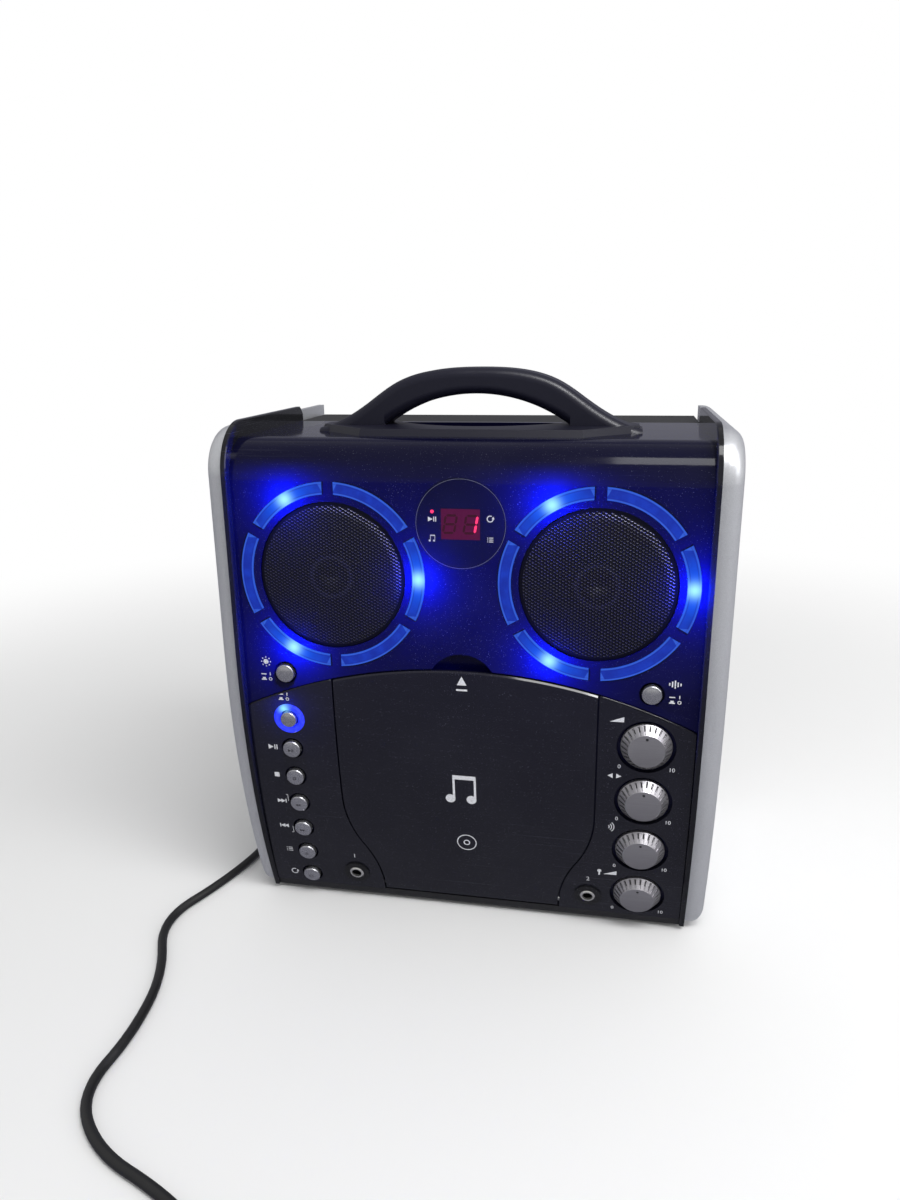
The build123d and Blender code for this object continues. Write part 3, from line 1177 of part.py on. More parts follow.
COLLAR_RADIUS = 4.6
BEZEL_PROUD = 1.0
COLLAR_SINK = 0.3
JACK_BODY_WIDTH = 16.0
JACK_BODY_HEIGHT = 13.0

with BuildPart() as mic_jacks:
    for side in sides.values():
        place = face_plane(side * JACK_X, JACK_Z, PANEL_PROUD)
        rod(place, JACK_BEZEL_RADIUS, 0, BEZEL_PROUD)
        rod(place, JACK_BARREL_RADIUS, -PANEL_PROUD - SUB_BACK - 1, 0)
        block(place, JACK_BODY_WIDTH, JACK_BODY_HEIGHT, -JACK_DEPTH, -PANEL_PROUD - SUB_BACK - 0.1)
        rod(place, COLLAR_RADIUS, -COLLAR_SINK, BEZEL_PROUD + 1, Mode.SUBTRACT)
        rod(place, JACK_BORE_RADIUS, -JACK_DEPTH + 1.5, 1, Mode.SUBTRACT)
keep(mic_jacks, "mic_jacks")

with BuildPart() as jack_collars:
    for side in sides.values():
        place = face_plane(side * JACK_X, JACK_Z, PANEL_PROUD)
        turned(
            place,
            (JACK_BORE_RADIUS, -COLLAR_SINK),
            (COLLAR_RADIUS, -COLLAR_SINK),
            (COLLAR_RADIUS, BEZEL_PROUD),
            (COLLAR_RADIUS - 0.5, BEZEL_PROUD + 0.5),
            (JACK_BORE_RADIUS, BEZEL_PROUD + 0.5),
        )
keep(jack_collars, "jack_collars")


# ------------------------------------------------------------------ electronics

TRANSFORMER_PLACE = (-84.0, REAR_Y - 55.0)
TRANSFORMER_WIDTH = 48.0
TRANSFORMER_CORE = 18.0
TRANSFORMER_HEIGHT = 38.0
WINDING_WIDTH = 28.0
WINDING_LENGTH = 38.0
CAPACITOR_RADIUS = 8.0
CAPACITOR_HEIGHT = 24.0
CAPACITOR_PLACES = [(-50.0, -20.0), (-28.0, -20.0)]  # on the board, from its middle
BOARD_BLOCKS = [  # heat sink, chip and relay: place from the board's middle, then size
    ((20.0, 22.0), (64.0, 4.0, 26.0)),
    ((20.0, -12.0), (26.0, 26.0, 3.0)),
    ((56.0, -14.0), (16.0, 22.0, 12.0)),
]

with BuildPart() as main_board:
    with Locations((*BOARD_CENTRE, BOARD_Z)):
        Box(BOARD_WIDTH, BOARD_LENGTH, BOARD, align=FROM_BACK)
        with Locations((0, 0, BOARD)):
            with Locations(*CAPACITOR_PLACES):
                Cylinder(CAPACITOR_RADIUS, CAPACITOR_HEIGHT, align=FROM_BACK)
            for spot, size in BOARD_BLOCKS:
                with Locations(spot):
                    Box(*size, align=FROM_BACK)
keep(main_board, "main_board")

with BuildPart() as transformer:
    with Locations((*TRANSFORMER_PLACE, MAIN_FLOOR_Z)):
        Box(TRANSFORMER_WIDTH, TRANSFORMER_CORE, TRANSFORMER_HEIGHT, align=FROM_BACK)
        with Locations((0, 0, 5)):
            Box(WINDING_WIDTH, WINDING_LENGTH, TRANSFORMER_HEIGHT - 10, align=FROM_BACK)
keep(transformer, "transformer")


# ------------------------------------------------------------------ screws

SHANK_RADIUS = SCREW_RADIUS - RUNNING_FIT

with BuildPart() as speaker_screws:
    for x in speakers.values():
        seat = face_plane(x, SPEAKER_Z)
        with Locations(seat.offset(SPEAKER_SEAT - 1.5)):
            with GridLocations(SPEAKER_SCREW_SPACING, SPEAKER_SCREW_SPACING, 2, 2):
                Cylinder(SHANK_RADIUS, 6, align=FROM_BACK)
                with Locations((0, 0, -1.8)):
                    Cylinder(2 * SCREW_RADIUS, 1.8, align=FROM_BACK)
keep(speaker_screws, "speaker_screws")

with BuildPart() as case_screws:
    for side in sides.values():
        for z in SCREW_Z:
            line = Plane(origin=(side * SCREW_X, BOSS_JOINT_Y + 4, z), x_dir=(1, 0, 0), z_dir=(0, 1, 0))
            rod(line, SHANK_RADIUS, -16, 0)
            rod(line, 3.6, 0, 2.4)
            with Locations(line.offset(2.4)):
                Box(4.6, 0.9, 2, mode=Mode.SUBTRACT)
                Box(0.9, 4.6, 2, mode=Mode.SUBTRACT)
keep(case_screws, "case_screws")


# ------------------------------------------------------------------ mains cord, strain relief, coil and plug

RELIEF_FLANGE = 6.8
RELIEF_FLANGE_THICKNESS = 1.5
relief_end = RELIEF_FLANGE_THICKNESS + RELIEF_LENGTH
relief_line = shifted(rear, -CORD_X, CORD_Z)
COIL_LEAD = 22.0
COIL_TAIL = 28.0
COIL_HEADING = 30.0  # degrees below the X axis as the cord comes in
COIL_ROUND = 5.0
PLUG_WIDTH = 24.0
PLUG_LENGTH = 26.0
PLUG_HEIGHT = 12.0
BLADE_SPACING = 12.7
BLADE_LENGTH = 17.0
BLADE_WIDTH = 6.3
BLADE = 1.5

with BuildPart() as strain_relief:
    turned(
        relief_line,
        (0, -WALL - 4),
        (RELIEF_COLLAR - 0.1, -WALL - 4),
        (RELIEF_COLLAR - 0.1, 0),
        (RELIEF_FLANGE, 0),
        (RELIEF_FLANGE, RELIEF_FLANGE_THICKNESS),
        (4.6, RELIEF_FLANGE_THICKNESS),
        (3.3, relief_end),
        (0, relief_end),
    )
keep(strain_relief, "strain_relief")

outer_turn = (COIL_MEAN_DIAMETER + COIL_SECTION_WIDTH) / 2 - CORD_RADIUS
heading = math.radians(COIL_HEADING)
lead_end = Vector(
    COIL_CENTRE[0] + outer_turn * math.sin(heading) - COIL_LEAD * math.cos(heading),
    COIL_CENTRE[1] + outer_turn * math.cos(heading) + COIL_LEAD * math.sin(heading),
    CORD_RADIUS,
)
cord_route = [
    Vector(CORD_X, REAR_Y + relief_end, CORD_Z),
    Vector(-92, 146, CORD_Z),
    Vector(-98, 190, CORD_RADIUS + 3),
    Vector(-132, 218, CORD_RADIUS),
    Vector(-176, 206, CORD_RADIUS),
    Vector(-190, 158, CORD_RADIUS),
    Vector(-178, 104, CORD_RADIUS),
    Vector(-170, 44, CORD_RADIUS),
    Vector(-158, -12, CORD_RADIUS),
    Vector(-172, -66, CORD_RADIUS),
    Vector(-194, -112, CORD_RADIUS),
    Vector(-168, -158, CORD_RADIUS),
    Vector(-161, -204, CORD_RADIUS),
    Vector(-166, -246, CORD_RADIUS),
    Vector(-140, -274, CORD_RADIUS),
    Vector(-100, -288, CORD_RADIUS),
    lead_end,
]
cord_bends = []
for before, point, after in zip(cord_route, cord_route[1:], cord_route[2:]):
    run_in = point - before
    run_out = after - point
    turn = math.radians(run_in.get_angle(run_out))
    cord_bends.append(0.45 * min(run_in.length, run_out.length) / math.tan(turn / 2))

with BuildPart() as mains_cord:
    with BuildLine() as cord_path:
        FilletPolyline(*cord_route, radius=cord_bends)
    with BuildSketch(Plane(origin=cord_route[0], z_dir=(cord_route[1] - cord_route[0]).normalized())):
        Circle(CORD_RADIUS)
    sweep(path=cord_path.line)
keep(mains_cord, "mains_cord")
cord_length = sum(edge.length for edge in cord_path.edges())
cord_volume_ratio = mains_cord.part.volume / (math.pi * CORD_RADIUS**2 * cord_length)
print("cord tube length", round(cord_length, 1), "volume ratio", round(cord_volume_ratio, 4))

with BuildPart() as cord_coil:
    with BuildSketch(Plane(origin=(*COIL_CENTRE, 0), x_dir=(1, 0, 0), z_dir=(0, -1, 0))):
        with Locations((COIL_MEAN_DIAMETER / 2, COIL_SECTION_HEIGHT / 2)):
            RectangleRounded(COIL_SECTION_WIDTH, COIL_SECTION_HEIGHT, COIL_ROUND)
    revolve(axis=Axis((*COIL_CENTRE, 0), (0, 0, 1)))
    lead = Plane(origin=lead_end, z_dir=(math.cos(heading), -math.sin(heading), 0))
    rod(lead, CORD_RADIUS, 0, COIL_LEAD)
    tail = Plane(origin=(COIL_CENTRE[0] + outer_turn, COIL_CENTRE[1], CORD_RADIUS), z_dir=(0, -1, 0))
    rod(tail, CORD_RADIUS, 0, COIL_TAIL)
keep(cord_coil, "cord_coil")

with BuildPart() as mains_plug:
    neck = Plane(origin=(tail.origin.X, tail.origin.Y - COIL_TAIL, 0), x_dir=(1, 0, 0), z_dir=(0, -1, 0))
    plug_middle = shifted(neck, 0, PLUG_HEIGHT / 2)
    with BuildSketch(plug_middle):
        RectangleRounded(PLUG_WIDTH / 2, PLUG_HEIGHT, 3)
    with BuildSketch(plug_middle.offset(PLUG_LENGTH * 0.45)):
        RectangleRounded(PLUG_WIDTH, PLUG_HEIGHT, 4)
    loft()
    with BuildSketch(plug_middle.offset(PLUG_LENGTH * 0.45)):
        RectangleRounded(PLUG_WIDTH, PLUG_HEIGHT, 4)
    extrude(amount=PLUG_LENGTH * 0.55)
    for x in (-BLADE_SPACING / 2, BLADE_SPACING / 2):
        block(shifted(plug_middle, x, 0), BLADE, BLADE_WIDTH, PLUG_LENGTH - 1, PLUG_LENGTH + BLADE_LENGTH)
keep(mains_plug, "mains_plug")
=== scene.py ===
import math

import bmesh
import bpy
from mathutils import Matrix, Vector


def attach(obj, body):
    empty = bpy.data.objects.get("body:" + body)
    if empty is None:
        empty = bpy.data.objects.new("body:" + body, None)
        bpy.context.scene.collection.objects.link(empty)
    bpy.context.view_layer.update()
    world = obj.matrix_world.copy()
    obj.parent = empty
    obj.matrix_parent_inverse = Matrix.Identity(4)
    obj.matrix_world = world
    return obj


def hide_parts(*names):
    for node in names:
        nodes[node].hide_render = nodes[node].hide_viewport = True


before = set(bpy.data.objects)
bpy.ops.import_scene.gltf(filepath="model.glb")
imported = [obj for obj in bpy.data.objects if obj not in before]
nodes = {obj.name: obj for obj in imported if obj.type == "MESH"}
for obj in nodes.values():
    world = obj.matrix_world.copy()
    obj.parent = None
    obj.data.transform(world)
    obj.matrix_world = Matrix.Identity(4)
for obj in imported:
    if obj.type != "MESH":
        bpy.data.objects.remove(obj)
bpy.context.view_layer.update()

# ------------------------------------------------ front housing
# One large moulding in high-gloss black ABS: the flat upper front, the rounded top and the floor of
# the handle scoop. Years of wiping have left hairlines and a little dust in the polish.


class Flow:
    """A shader socket that takes arithmetic, so that a finish reads as plain expressions."""

    def __init__(self, tree, socket):
        self.tree = tree
        self.socket = socket

    def node(self, kind, settings=None, links=None, output=0):
        made = self.tree.nodes.new("ShaderNode" + kind)
        settings = dict(settings or {})
        stops = settings.pop("stops", ())
        for name, value in settings.items():
            setattr(made, name, value)
        for index, (place, colour) in enumerate(stops):
            ramp = made.color_ramp.elements
            stop = ramp[index] if index < 2 else ramp.new(place)
            stop.position = place
            stop.color = (*colour, 1)
        for name, value in (links or {}).items():
            if isinstance(value, Flow):
                self.tree.links.new(value.socket, made.inputs[name])
            else:
                made.inputs[name].default_value = value
        return Flow(self.tree, made.outputs[output])

    def maths(self, operation, *others):
        return self.node("Math", {"operation": operation}, dict(enumerate((self, *others))))

    def __add__(self, other):
        return self.maths("ADD", other)

    def __sub__(self, other):
        return self.maths("SUBTRACT", other)

    def __rsub__(self, other):
        return self * -1.0 + other

    def __mul__(self, other):
        return self.maths("MULTIPLY", other)

    def __truediv__(self, other):
        return self.maths("DIVIDE", other)

    def __abs__(self):
        return self.maths("ABSOLUTE")

    __radd__ = __add__
    __rmul__ = __mul__

    def clear(self, low, high):
        """0 below low and 1 above high, with a smooth step between them."""
        step = {"Value": self, "From Min": low, "From Max": high}
        return self.node("MapRange", {"interpolation_type": "SMOOTHSTEP"}, step)

    def axis(self, index):
        return self.node("SeparateXYZ", {}, {0: self}, index)

    def noise(self, scale, detail=2.0, roughness=0.5):
        grain = {"Vector": self, "Scale": scale, "Detail": detail, "Roughness": roughness}
        return self.node("TexNoise", {}, grain)

    def stretched(self, turn, scale):
        """The place turned about the Y axis and scaled, for grain that runs one way."""
        return self.node("Mapping", {}, {"Vector": self, "Rotation": (0, turn, 0), "Scale": scale})

    def blend(self, first, second):
        """The first colour where this is 0 and the second where it is 1."""
        colours = {0: self, 6: first, 7: second}
        return self.node("Mix", {"data_type": "RGBA"}, colours, 2)

    def relief(self, strength, distance):
        """A bump from this height, for a shader's normal."""
        return self.node("Bump", {}, {"Height": self, "Strength": strength, "Distance": distance})


def start_finish(name, **constants):
    """A new material, its shader and the flow of places on the piece in metres."""
    material = bpy.data.materials.new(name)
    material.use_nodes = True
    tree = material.node_tree
    shader = tree.nodes["Principled BSDF"]
    for socket, value in constants.items():
        shader.inputs[socket.replace("_", " ")].default_value = value
    place = Flow(tree, tree.nodes.new("ShaderNodeTexCoord").outputs["Object"])
    return material, shader, place


def drive(shader, flow, socket):
    """Links a flow to a socket of the shader."""
    flow.tree.links.new(flow.socket, shader.inputs[socket])


def rgba(colour, factor=1.0):
    """A colour, or a darker or brighter one of the same hue, as a socket takes it."""
    return (*(value * factor for value in colour), 1)


DUST_GREY = (0.3, 0.31, 0.37, 1)


def polished_plastic(name, colour, worn, shine=0.3):
    """Glossy moulded plastic: smudges and orange peel, hairline scratches and specks of dust."""
    material, shader, place = start_finish(name, IOR=1.5, Specular_IOR_Level=shine)
    smudge = place.noise(16, 3, 0.6).clear(0.42, 0.72)
    lines = place.stretched(0.5, (14, 14, 2600)).noise(1, 1).clear(0.7, 0.76)
    lines = lines + place.stretched(-0.9, (11, 11, 3100)).noise(1, 1).clear(0.715, 0.77)
    lines = (lines * place.noise(9, 1).clear(0.48, 0.62)) * worn
    dust = place.noise(2600, 0).clear(0.79, 0.83) * worn
    shade = (dust * 0.4 + lines * 0.16 + smudge * 0.008).blend(rgba(colour), DUST_GREY)
    drive(shader, shade, "Base Color")
    drive(shader, 0.075 + smudge * 0.05 + lines * 0.12 + dust * 0.4, "Roughness")
    peel = place.noise(55, 1) + lines * -0.4
    drive(shader, peel.relief(0.05, 0.0008), "Normal")
    return material


def give(material, *names):
    """Puts one finish on all the faces of some nodes or pieces."""
    for name in names:
        piece = nodes[name] if isinstance(name, str) else name
        if not piece.material_slots:
            piece.data.materials.append(material)
        for place in piece.material_slots:
            place.material = material


# Painted light: the black is tinted blue for the glow of the light rings that falls over the front.
piano_black = polished_plastic("piano_black", (0.003, 0.003, 0.018), 0.6, 0.14)
give(piano_black, "front_housing")

# ------------------------------------------------ base plate and feet
# The underside is a flat black moulding with a fine spark texture. Four soft rubber feet are
# pressed into it and grip the table.


def textured_plastic(name, colour, grain=3200, rough=0.55):
    """Moulded plastic with a fine sparked texture and slightly uneven sheen."""
    material, shader, place = start_finish(name, IOR=1.48)
    spark = place.noise(grain, 2, 0.6)
    cloud = place.noise(22, 3)
    paler = rgba([value * 1.7 + 0.004 for value in colour])
    tint = (cloud * 0.5 + spark * 0.3).clear(0.2, 0.75).blend(rgba(colour), paler)
    drive(shader, tint, "Base Color")
    drive(shader, rough - 0.1 + cloud * 0.16 + spark * 0.08, "Roughness")
    drive(shader, spark.relief(0.35, 0.00012), "Normal")
    return material


moulded_black = textured_plastic("moulded_black", (0.012, 0.012, 0.014))
give(moulded_black, "base_plate")
foot_rubber = textured_plastic("foot_rubber", (0.02, 0.02, 0.021), 1500, 0.8)
give(foot_rubber, "feet")

# ------------------------------------------------ rear cabinet
# The back is a second deep shell that slides into the front housing. It is matt with a coarser
# texture, vented, and screwed on from behind.

give(textured_plastic("cabinet_black", (0.014, 0.014, 0.016), 2100, 0.62), "rear_cabinet")

# ------------------------------------------------ side rims and side panels
# Thin gloss-black rims stand proud of the front and top. The bulged side panels outside them are
# sprayed in satin silver, and a little of the silver flake glints.


FLAKE_SCALE = 3800.0


def silver_spray(name, colour, rough=0.32, metal=0.55):
    """Silver lacquer on plastic: fine flake, soft sheen and slight clouding."""
    material, shader, place = start_finish(name, Metallic=metal, IOR=1.5, Coat_Roughness=0.2)
    flake = place.node("TexVoronoi", {}, {"Vector": place, "Scale": FLAKE_SCALE}, 1).axis(0)
    cloud = place.noise(14, 3)
    shade = (flake * 0.55 + cloud * 0.3).blend(rgba(colour, 0.82), rgba(colour, 1.12))
    drive(shader, shade, "Base Color")
    drive(shader, rough + flake * 0.12 - cloud * 0.06, "Roughness")
    drive(shader, cloud * 0.2 + 0.15, "Coat Weight")
    drive(shader, (place.noise(900, 2) + flake * 0.3).relief(0.06, 0.0002), "Normal")
    return material


give(polished_plastic("rim_black", (0.007, 0.007, 0.009), 0.7), "side_rim_left", "side_rim_right")
give(silver_spray("side_silver", (0.6, 0.61, 0.64)), "side_panel_left", "side_panel_right")

# ------------------------------------------------ carry handle
# A thick satin arch with a rounded grip that flows into two wide feet, screwed down over the scoop
# in the top. The grip is polished a little by hands.

HANDLE_TOP, GRIP_FOOT = 0.3433, 0.322


def handle_black():
    """Satin black plastic, rubbed a little smoother towards the top of the grip."""
    material, shader, place = start_finish("handle_black", IOR=1.48, Specular_IOR_Level=0.35)
    spark = place.noise(2600, 2, 0.6)
    worn = place.axis(2).clear(GRIP_FOOT, HANDLE_TOP) * place.noise(30, 3).clear(0.3, 0.7)
    shade = (spark * 0.6).blend((0.0045, 0.0045, 0.014, 1), (0.01, 0.01, 0.023, 1))
    drive(shader, shade, "Base Color")
    drive(shader, 0.34 + spark * 0.08 - worn * 0.1, "Roughness")
    drive(shader, spark.relief(0.3, 0.00012), "Normal")
    return material


give(handle_black(), "carry_handle")

# ------------------------------------------------ lower panels, disc door and its catch
# Three curved gloss panels stand slightly proud of the front under a shallow arch. The middle one
# is the disc door, hinged on two steel pins at its foot. A catch behind the finger scoop holds it.


def bare_steel(name, colour=(0.5, 0.5, 0.51), turn=0.0):
    """Plain steel with drawn lines and faint stains."""
    material, shader, place = start_finish(name, Metallic=0.95)
    drawn = place.stretched(turn, (120, 120, 5200)).noise(1, 2)
    stain = place.noise(60, 3).clear(0.45, 0.75)
    shade = (drawn * 0.5 + stain * 0.4).blend(rgba(colour), rgba(colour, 0.62))
    drive(shader, shade, "Base Color")
    drive(shader, 0.26 + drawn * 0.16 + stain * 0.12, "Roughness")
    drive(shader, drawn.relief(0.12, 0.0001), "Normal")
    return material


fascia_black = polished_plastic("fascia_black", (0.0065, 0.0065, 0.0115), 0.7, 0.45)
give(fascia_black, "control_panel_left", "control_panel_right", "disc_door")
pin_steel = bare_steel("pin_steel")
give(pin_steel, "hinge_pins")
give(textured_plastic("catch_grey", (0.09, 0.09, 0.095), 2600, 0.5), "door_catch")

# ------------------------------------------------ printed marks
# Pale grey marks are pad-printed on the gloss: an open arrow and a tune on the door, plain symbols
# beside the buttons, and numbers round the knobs and over the microphone sockets. Outlines are
# lists of (x, z) in millimetres, and each is laid onto the curve of the front.

CURVE_START, CURVE_RADIUS, FACE_Y = 0.185, 0.59, -0.089
PANEL_PROUD, INK_THICK = 0.0012, 0.00005


def face_point(x, z, out):
    """A point out metres in front of the surface that the housing has at that height."""
    fall = max(CURVE_START - z, 0)
    turn = math.asin(fall / CURVE_RADIUS)
    back = CURVE_RADIUS - math.sqrt(CURVE_RADIUS**2 - fall**2)
    return Vector((x, FACE_Y + back - out * math.cos(turn), z - out * math.sin(turn)))


def face_axes(x, z, out):
    """The place on the front with its outward and upward directions."""
    turn = math.asin(max(CURVE_START - z, 0) / CURVE_RADIUS)
    outward = Vector((0, -math.cos(turn), -math.sin(turn)))
    return face_point(x, z, out), outward, Vector((0, outward.z, -outward.y))


def new_piece(name, points, faces, material, body, smooth=False):
    """A mesh piece that rides on a body."""
    mesh = bpy.data.meshes.new(name)
    mesh.from_pydata([tuple(point) for point in points], [], faces)
    mesh.materials.append(material)
    mesh.polygons.foreach_set("use_smooth", [smooth] * len(mesh.polygons))
    piece = bpy.data.objects.new(name, mesh)
    bpy.context.scene.collection.objects.link(piece)
    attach(piece, body)
    return piece


def bar(x, z, width, height):
    half, tall = width / 2, height / 2
    corners = [(-half, -tall), (half, -tall), (half, tall), (-half, tall)]
    return [[(x + a, z + b) for a, b in corners]]


def arc(x, z, outer, inner, first=0.0, last=360.0, steps=28):
    """A ring or a part of one between two angles, or a disc where the inner radius is 0."""
    strips = []
    for step in range(steps):
        corners = []
        for turn, radius in ((step, inner), (step, outer), (step + 1, outer), (step + 1, inner)):
            angle = math.radians(first + (last - first) * turn / steps)
            corners.append((x + radius * math.cos(angle), z + radius * math.sin(angle)))
        strips.append(corners if inner else corners[1:])
    return strips


def arrow(x, z, size, angle=0.0):
    """A filled triangle that points the way of an angle."""
    corners = []
    for turn, reach in ((0, 0.62), (125, 0.62), (235, 0.62)):
        way = math.radians(angle + turn)
        corners.append((x + size * reach * math.cos(way), z + size * reach * math.sin(way)))
    return [corners]


def play_pause(x, z, size):
    pause = bar(x + 0.3 * size, z, 0.2 * size, size) + bar(x + 0.7 * size, z, 0.2 * size, size)
    return arrow(x - 0.55 * size, z, size) + pause


def loop_arrow(x, z, size):
    head = arrow(x + 0.45 * size, z + 0.12 * size, 0.42 * size, 90)
    return arc(x, z, 0.52 * size, 0.38 * size, 60, 360) + head


def listed(x, z, size):
    """Three short lines, each with a dot before it."""
    lines = []
    for row in (-1, 0, 1):
        lines += bar(x + 0.12 * size, z + 0.34 * row * size, 0.72 * size, 0.13 * size)
        lines += bar(x - 0.48 * size, z + 0.34 * row * size, 0.14 * size, 0.14 * size)
    return lines


def note(x, z, size):
    """A pair of joined quavers."""
    shapes = bar(x, z + 0.42 * size, 0.74 * size, 0.15 * size)
    for side in (-1, 1):
        stem = x + side * 0.34 * size
        shapes += bar(stem, z + 0.02 * size, 0.07 * size, 0.84 * size)
        shapes += arc(stem - 0.12 * size, z - 0.4 * size, 0.16 * size, 0, steps=16)
    return shapes


def switch_marks(x, z):
    """A pressed and a released key with the plain on and off signs."""
    pressed = bar(x - 3, z + 1.5, 3.2, 0.7) + bar(x + 1, z + 1.7, 0.5, 2.0)
    released = bar(x - 3, z - 2.0, 3.2, 0.7) + bar(x - 3, z - 1.1, 1.8, 1.2)
    return pressed + released + arc(x + 1, z - 1.5, 1.1, 0.65, steps=16)


def printed(name, shapes, out, material, body="cabinet"):
    """Ink on the front surface: flat shapes laid onto its curve."""
    points, faces = [], []
    for shape in shapes:
        faces.append(list(range(len(points), len(points) + len(shape))))
        points += [face_point(x / 1000, z / 1000, out + INK_THICK) for x, z in shape]
    return new_piece(name, points, faces, material, body)


def numeral(text, x, z, height):
    """Outlines of plain numerals, as flat triangles."""
    curve = bpy.data.curves.new("numeral", "FONT")
    curve.body = text
    curve.align_x = "CENTER"
    curve.align_y = "CENTER"
    curve.size = height * 1.4
    carrier = bpy.data.objects.new("numeral", curve)
    mesh = bpy.data.meshes.new_from_object(carrier)
    shapes = []
    for face in mesh.polygons:
        corners = [mesh.vertices[index].co for index in face.vertices]
        shapes.append([(x + corner.x, z + corner.y) for corner in corners])
    bpy.data.objects.remove(carrier)
    bpy.data.meshes.remove(mesh)
    bpy.data.curves.remove(curve)
    return shapes


def ink(name, colour):
    """Slightly uneven print."""
    material, shader, place = start_finish(name, Roughness=0.45)
    wear = place.noise(1400, 2).clear(0.35, 0.6)
    drive(shader, wear.blend(rgba(colour, 0.75), rgba(colour)), "Base Color")
    return material


pale_ink = ink("pale_ink", (0.74, 0.75, 0.8))
BUTTON_X, KNOB_X, JACK_X = 106.8, 105.4, 75.2
UPPER_BUTTON_Z, POWER_Z = 169.4, 139.5
JACK_MARK_Z, JACK_MARK_HEIGHT, DIAL_MARK_HEIGHT = 37.2, 3.2, 2.6
SMALL_BUTTONS = [118.9 - row * 20.2 for row in range(6)]
KNOBS = {"master_volume": 136.7, "balance": 100.3, "echo": 63.9, "microphone_volume": 27.5}

sun_x, sun_z = -BUTTON_X - 12, UPPER_BUTTON_Z + 6.4
sun = arc(sun_x, sun_z, 1.6, 0, steps=16)
for ray in range(8):
    angle = math.radians(45 * ray)
    sun += arc(sun_x + 2.8 * math.cos(angle), sun_z + 2.8 * math.sin(angle), 0.42, 0, steps=8)
voice = []
for column, tall in enumerate((1.6, 3.4, 4.8, 2.8, 1.6)):
    voice += bar(BUTTON_X + 9.2 + 1.5 * column, UPPER_BUTTON_Z + 6.6, 0.7, tall)
upper_marks = sun + voice + switch_marks(-BUTTON_X - 11, UPPER_BUTTON_Z - 3.2)
upper_marks += switch_marks(BUTTON_X + 14, UPPER_BUTTON_Z - 2.6)
printed("upper_marks", upper_marks, 0, pale_ink)

left = -BUTTON_X - 12.5
button_marks = switch_marks(-BUTTON_X - 1, POWER_Z + 14.6)
button_marks += play_pause(left, SMALL_BUTTONS[0], 3.4) + bar(left, SMALL_BUTTONS[1], 3.2, 3.2)
for row, way in ((2, 1), (3, -1)):
    z = SMALL_BUTTONS[row]
    aim = 0 if way > 0 else 180
    button_marks += arrow(left - 1.2, z, 3.0, aim) + arrow(left + 1.2, z, 3.0, aim)
    button_marks += bar(left + way * 3.3, z, 0.6, 3.1)
    button_marks += bar(left + 5, z + way * 2.5, 0.3, 5) + bar(left + 4.4, z + way * 5, 1.4, 0.3)
button_marks += listed(left, SMALL_BUTTONS[4], 4) + loop_arrow(left, SMALL_BUTTONS[5], 4.6)
button_marks += numeral("1", -JACK_X, JACK_MARK_Z, JACK_MARK_HEIGHT)
printed("button_marks", button_marks, PANEL_PROUD, pale_ink)

knob_marks = numeral("2", JACK_X, JACK_MARK_Z, JACK_MARK_HEIGHT)
for name, z in KNOBS.items():
    knob_marks += numeral("0", KNOB_X - 14.6, z - 13.6, DIAL_MARK_HEIGHT)
    knob_marks += numeral("10", KNOB_X + 14.8, z - 13.6, DIAL_MARK_HEIGHT)
    x, z = KNOB_X - 17, z + 16.4
    if name == "balance":
        knob_marks += arrow(x - 2.1, z, 3.1, 180) + arrow(x + 2.1, z, 3.1)
    elif name == "echo":
        for ripple in (1.6, 3.0, 4.4):
            knob_marks += arc(x - 3, z, ripple, ripple - 0.5, -50, 50, 12)
    else:
        knob_marks.append([(x - 4, z - 1.3), (x + 4, z - 1.3), (x + 4, z + 1.9)])
    if name == "microphone_volume":
        knob_marks += arc(x - 6.4, z + 1.2, 1.25, 0, steps=16) + bar(x - 6.4, z - 0.8, 0.9, 3.2)
printed("knob_marks", knob_marks, PANEL_PROUD, pale_ink)

door_marks = arrow(0, 170.4, 5.6, 90) + bar(0, 165.4, 6.4, 1.1)
door_marks += note(0, 99, 19) + arc(0, 58, 6.2, 5.6) + arc(0, 58, 2.1, 1.4)
printed("door_marks", door_marks, PANEL_PROUD, pale_ink, body="disc_door")

# ------------------------------------------------ rounded top edges of the two panels
# The arched top edge of each control panel is softly rounded in the mould. A thin round bead stands
# for that rounding, and the lamps draw a bright line along it.

ARCH_TOP, ARCH_RADIUS, PANEL_GAP = 0.1775, 0.3076, 0.0004
BEAD_RADIUS, BEAD_INSET = 0.0005, 0.00024
PANEL_START, PANEL_END = 0.0787, 0.1321


def arched_bead(name, start, end):
    """A thin round bead along the arch between two places across the front."""
    points, faces = [], []
    stations, sides = 28, 8
    radius = ARCH_RADIUS - PANEL_GAP - BEAD_INSET
    for station in range(stations + 1):
        x = start + (end - start) * station / stations
        rise = math.sqrt(radius**2 - x**2)
        z = ARCH_TOP - ARCH_RADIUS + rise
        centre, outward, upward = face_axes(x, z, PANEL_PROUD - BEAD_INSET)
        across = (Vector((x / radius, 0, 0)) + upward * (rise / radius)).normalized()
        for side in range(sides):
            angle = 2 * math.pi * side / sides
            spoke = outward * math.cos(angle) + across * math.sin(angle)
            points.append(centre + spoke * BEAD_RADIUS)
    for station in range(stations):
        for side in range(sides):
            a, b = station * sides + side, station * sides + (side + 1) % sides
            faces.append([a, b, b + sides, a + sides])
    faces += [list(range(sides))[::-1], list(range(len(points) - sides, len(points)))]
    new_piece(name, points, faces, fascia_black, "cabinet", smooth=True)


arched_bead("panel_edge_left", -PANEL_END, -PANEL_START)
arched_bead("panel_edge_right", PANEL_START, PANEL_END)

# ------------------------------------------------ disc bay and mechanism
# Behind the door a matt dish holds the disc. A steel chassis under it carries the disc motor and a
# sled on two rods, driven by a small motor through a pinion.

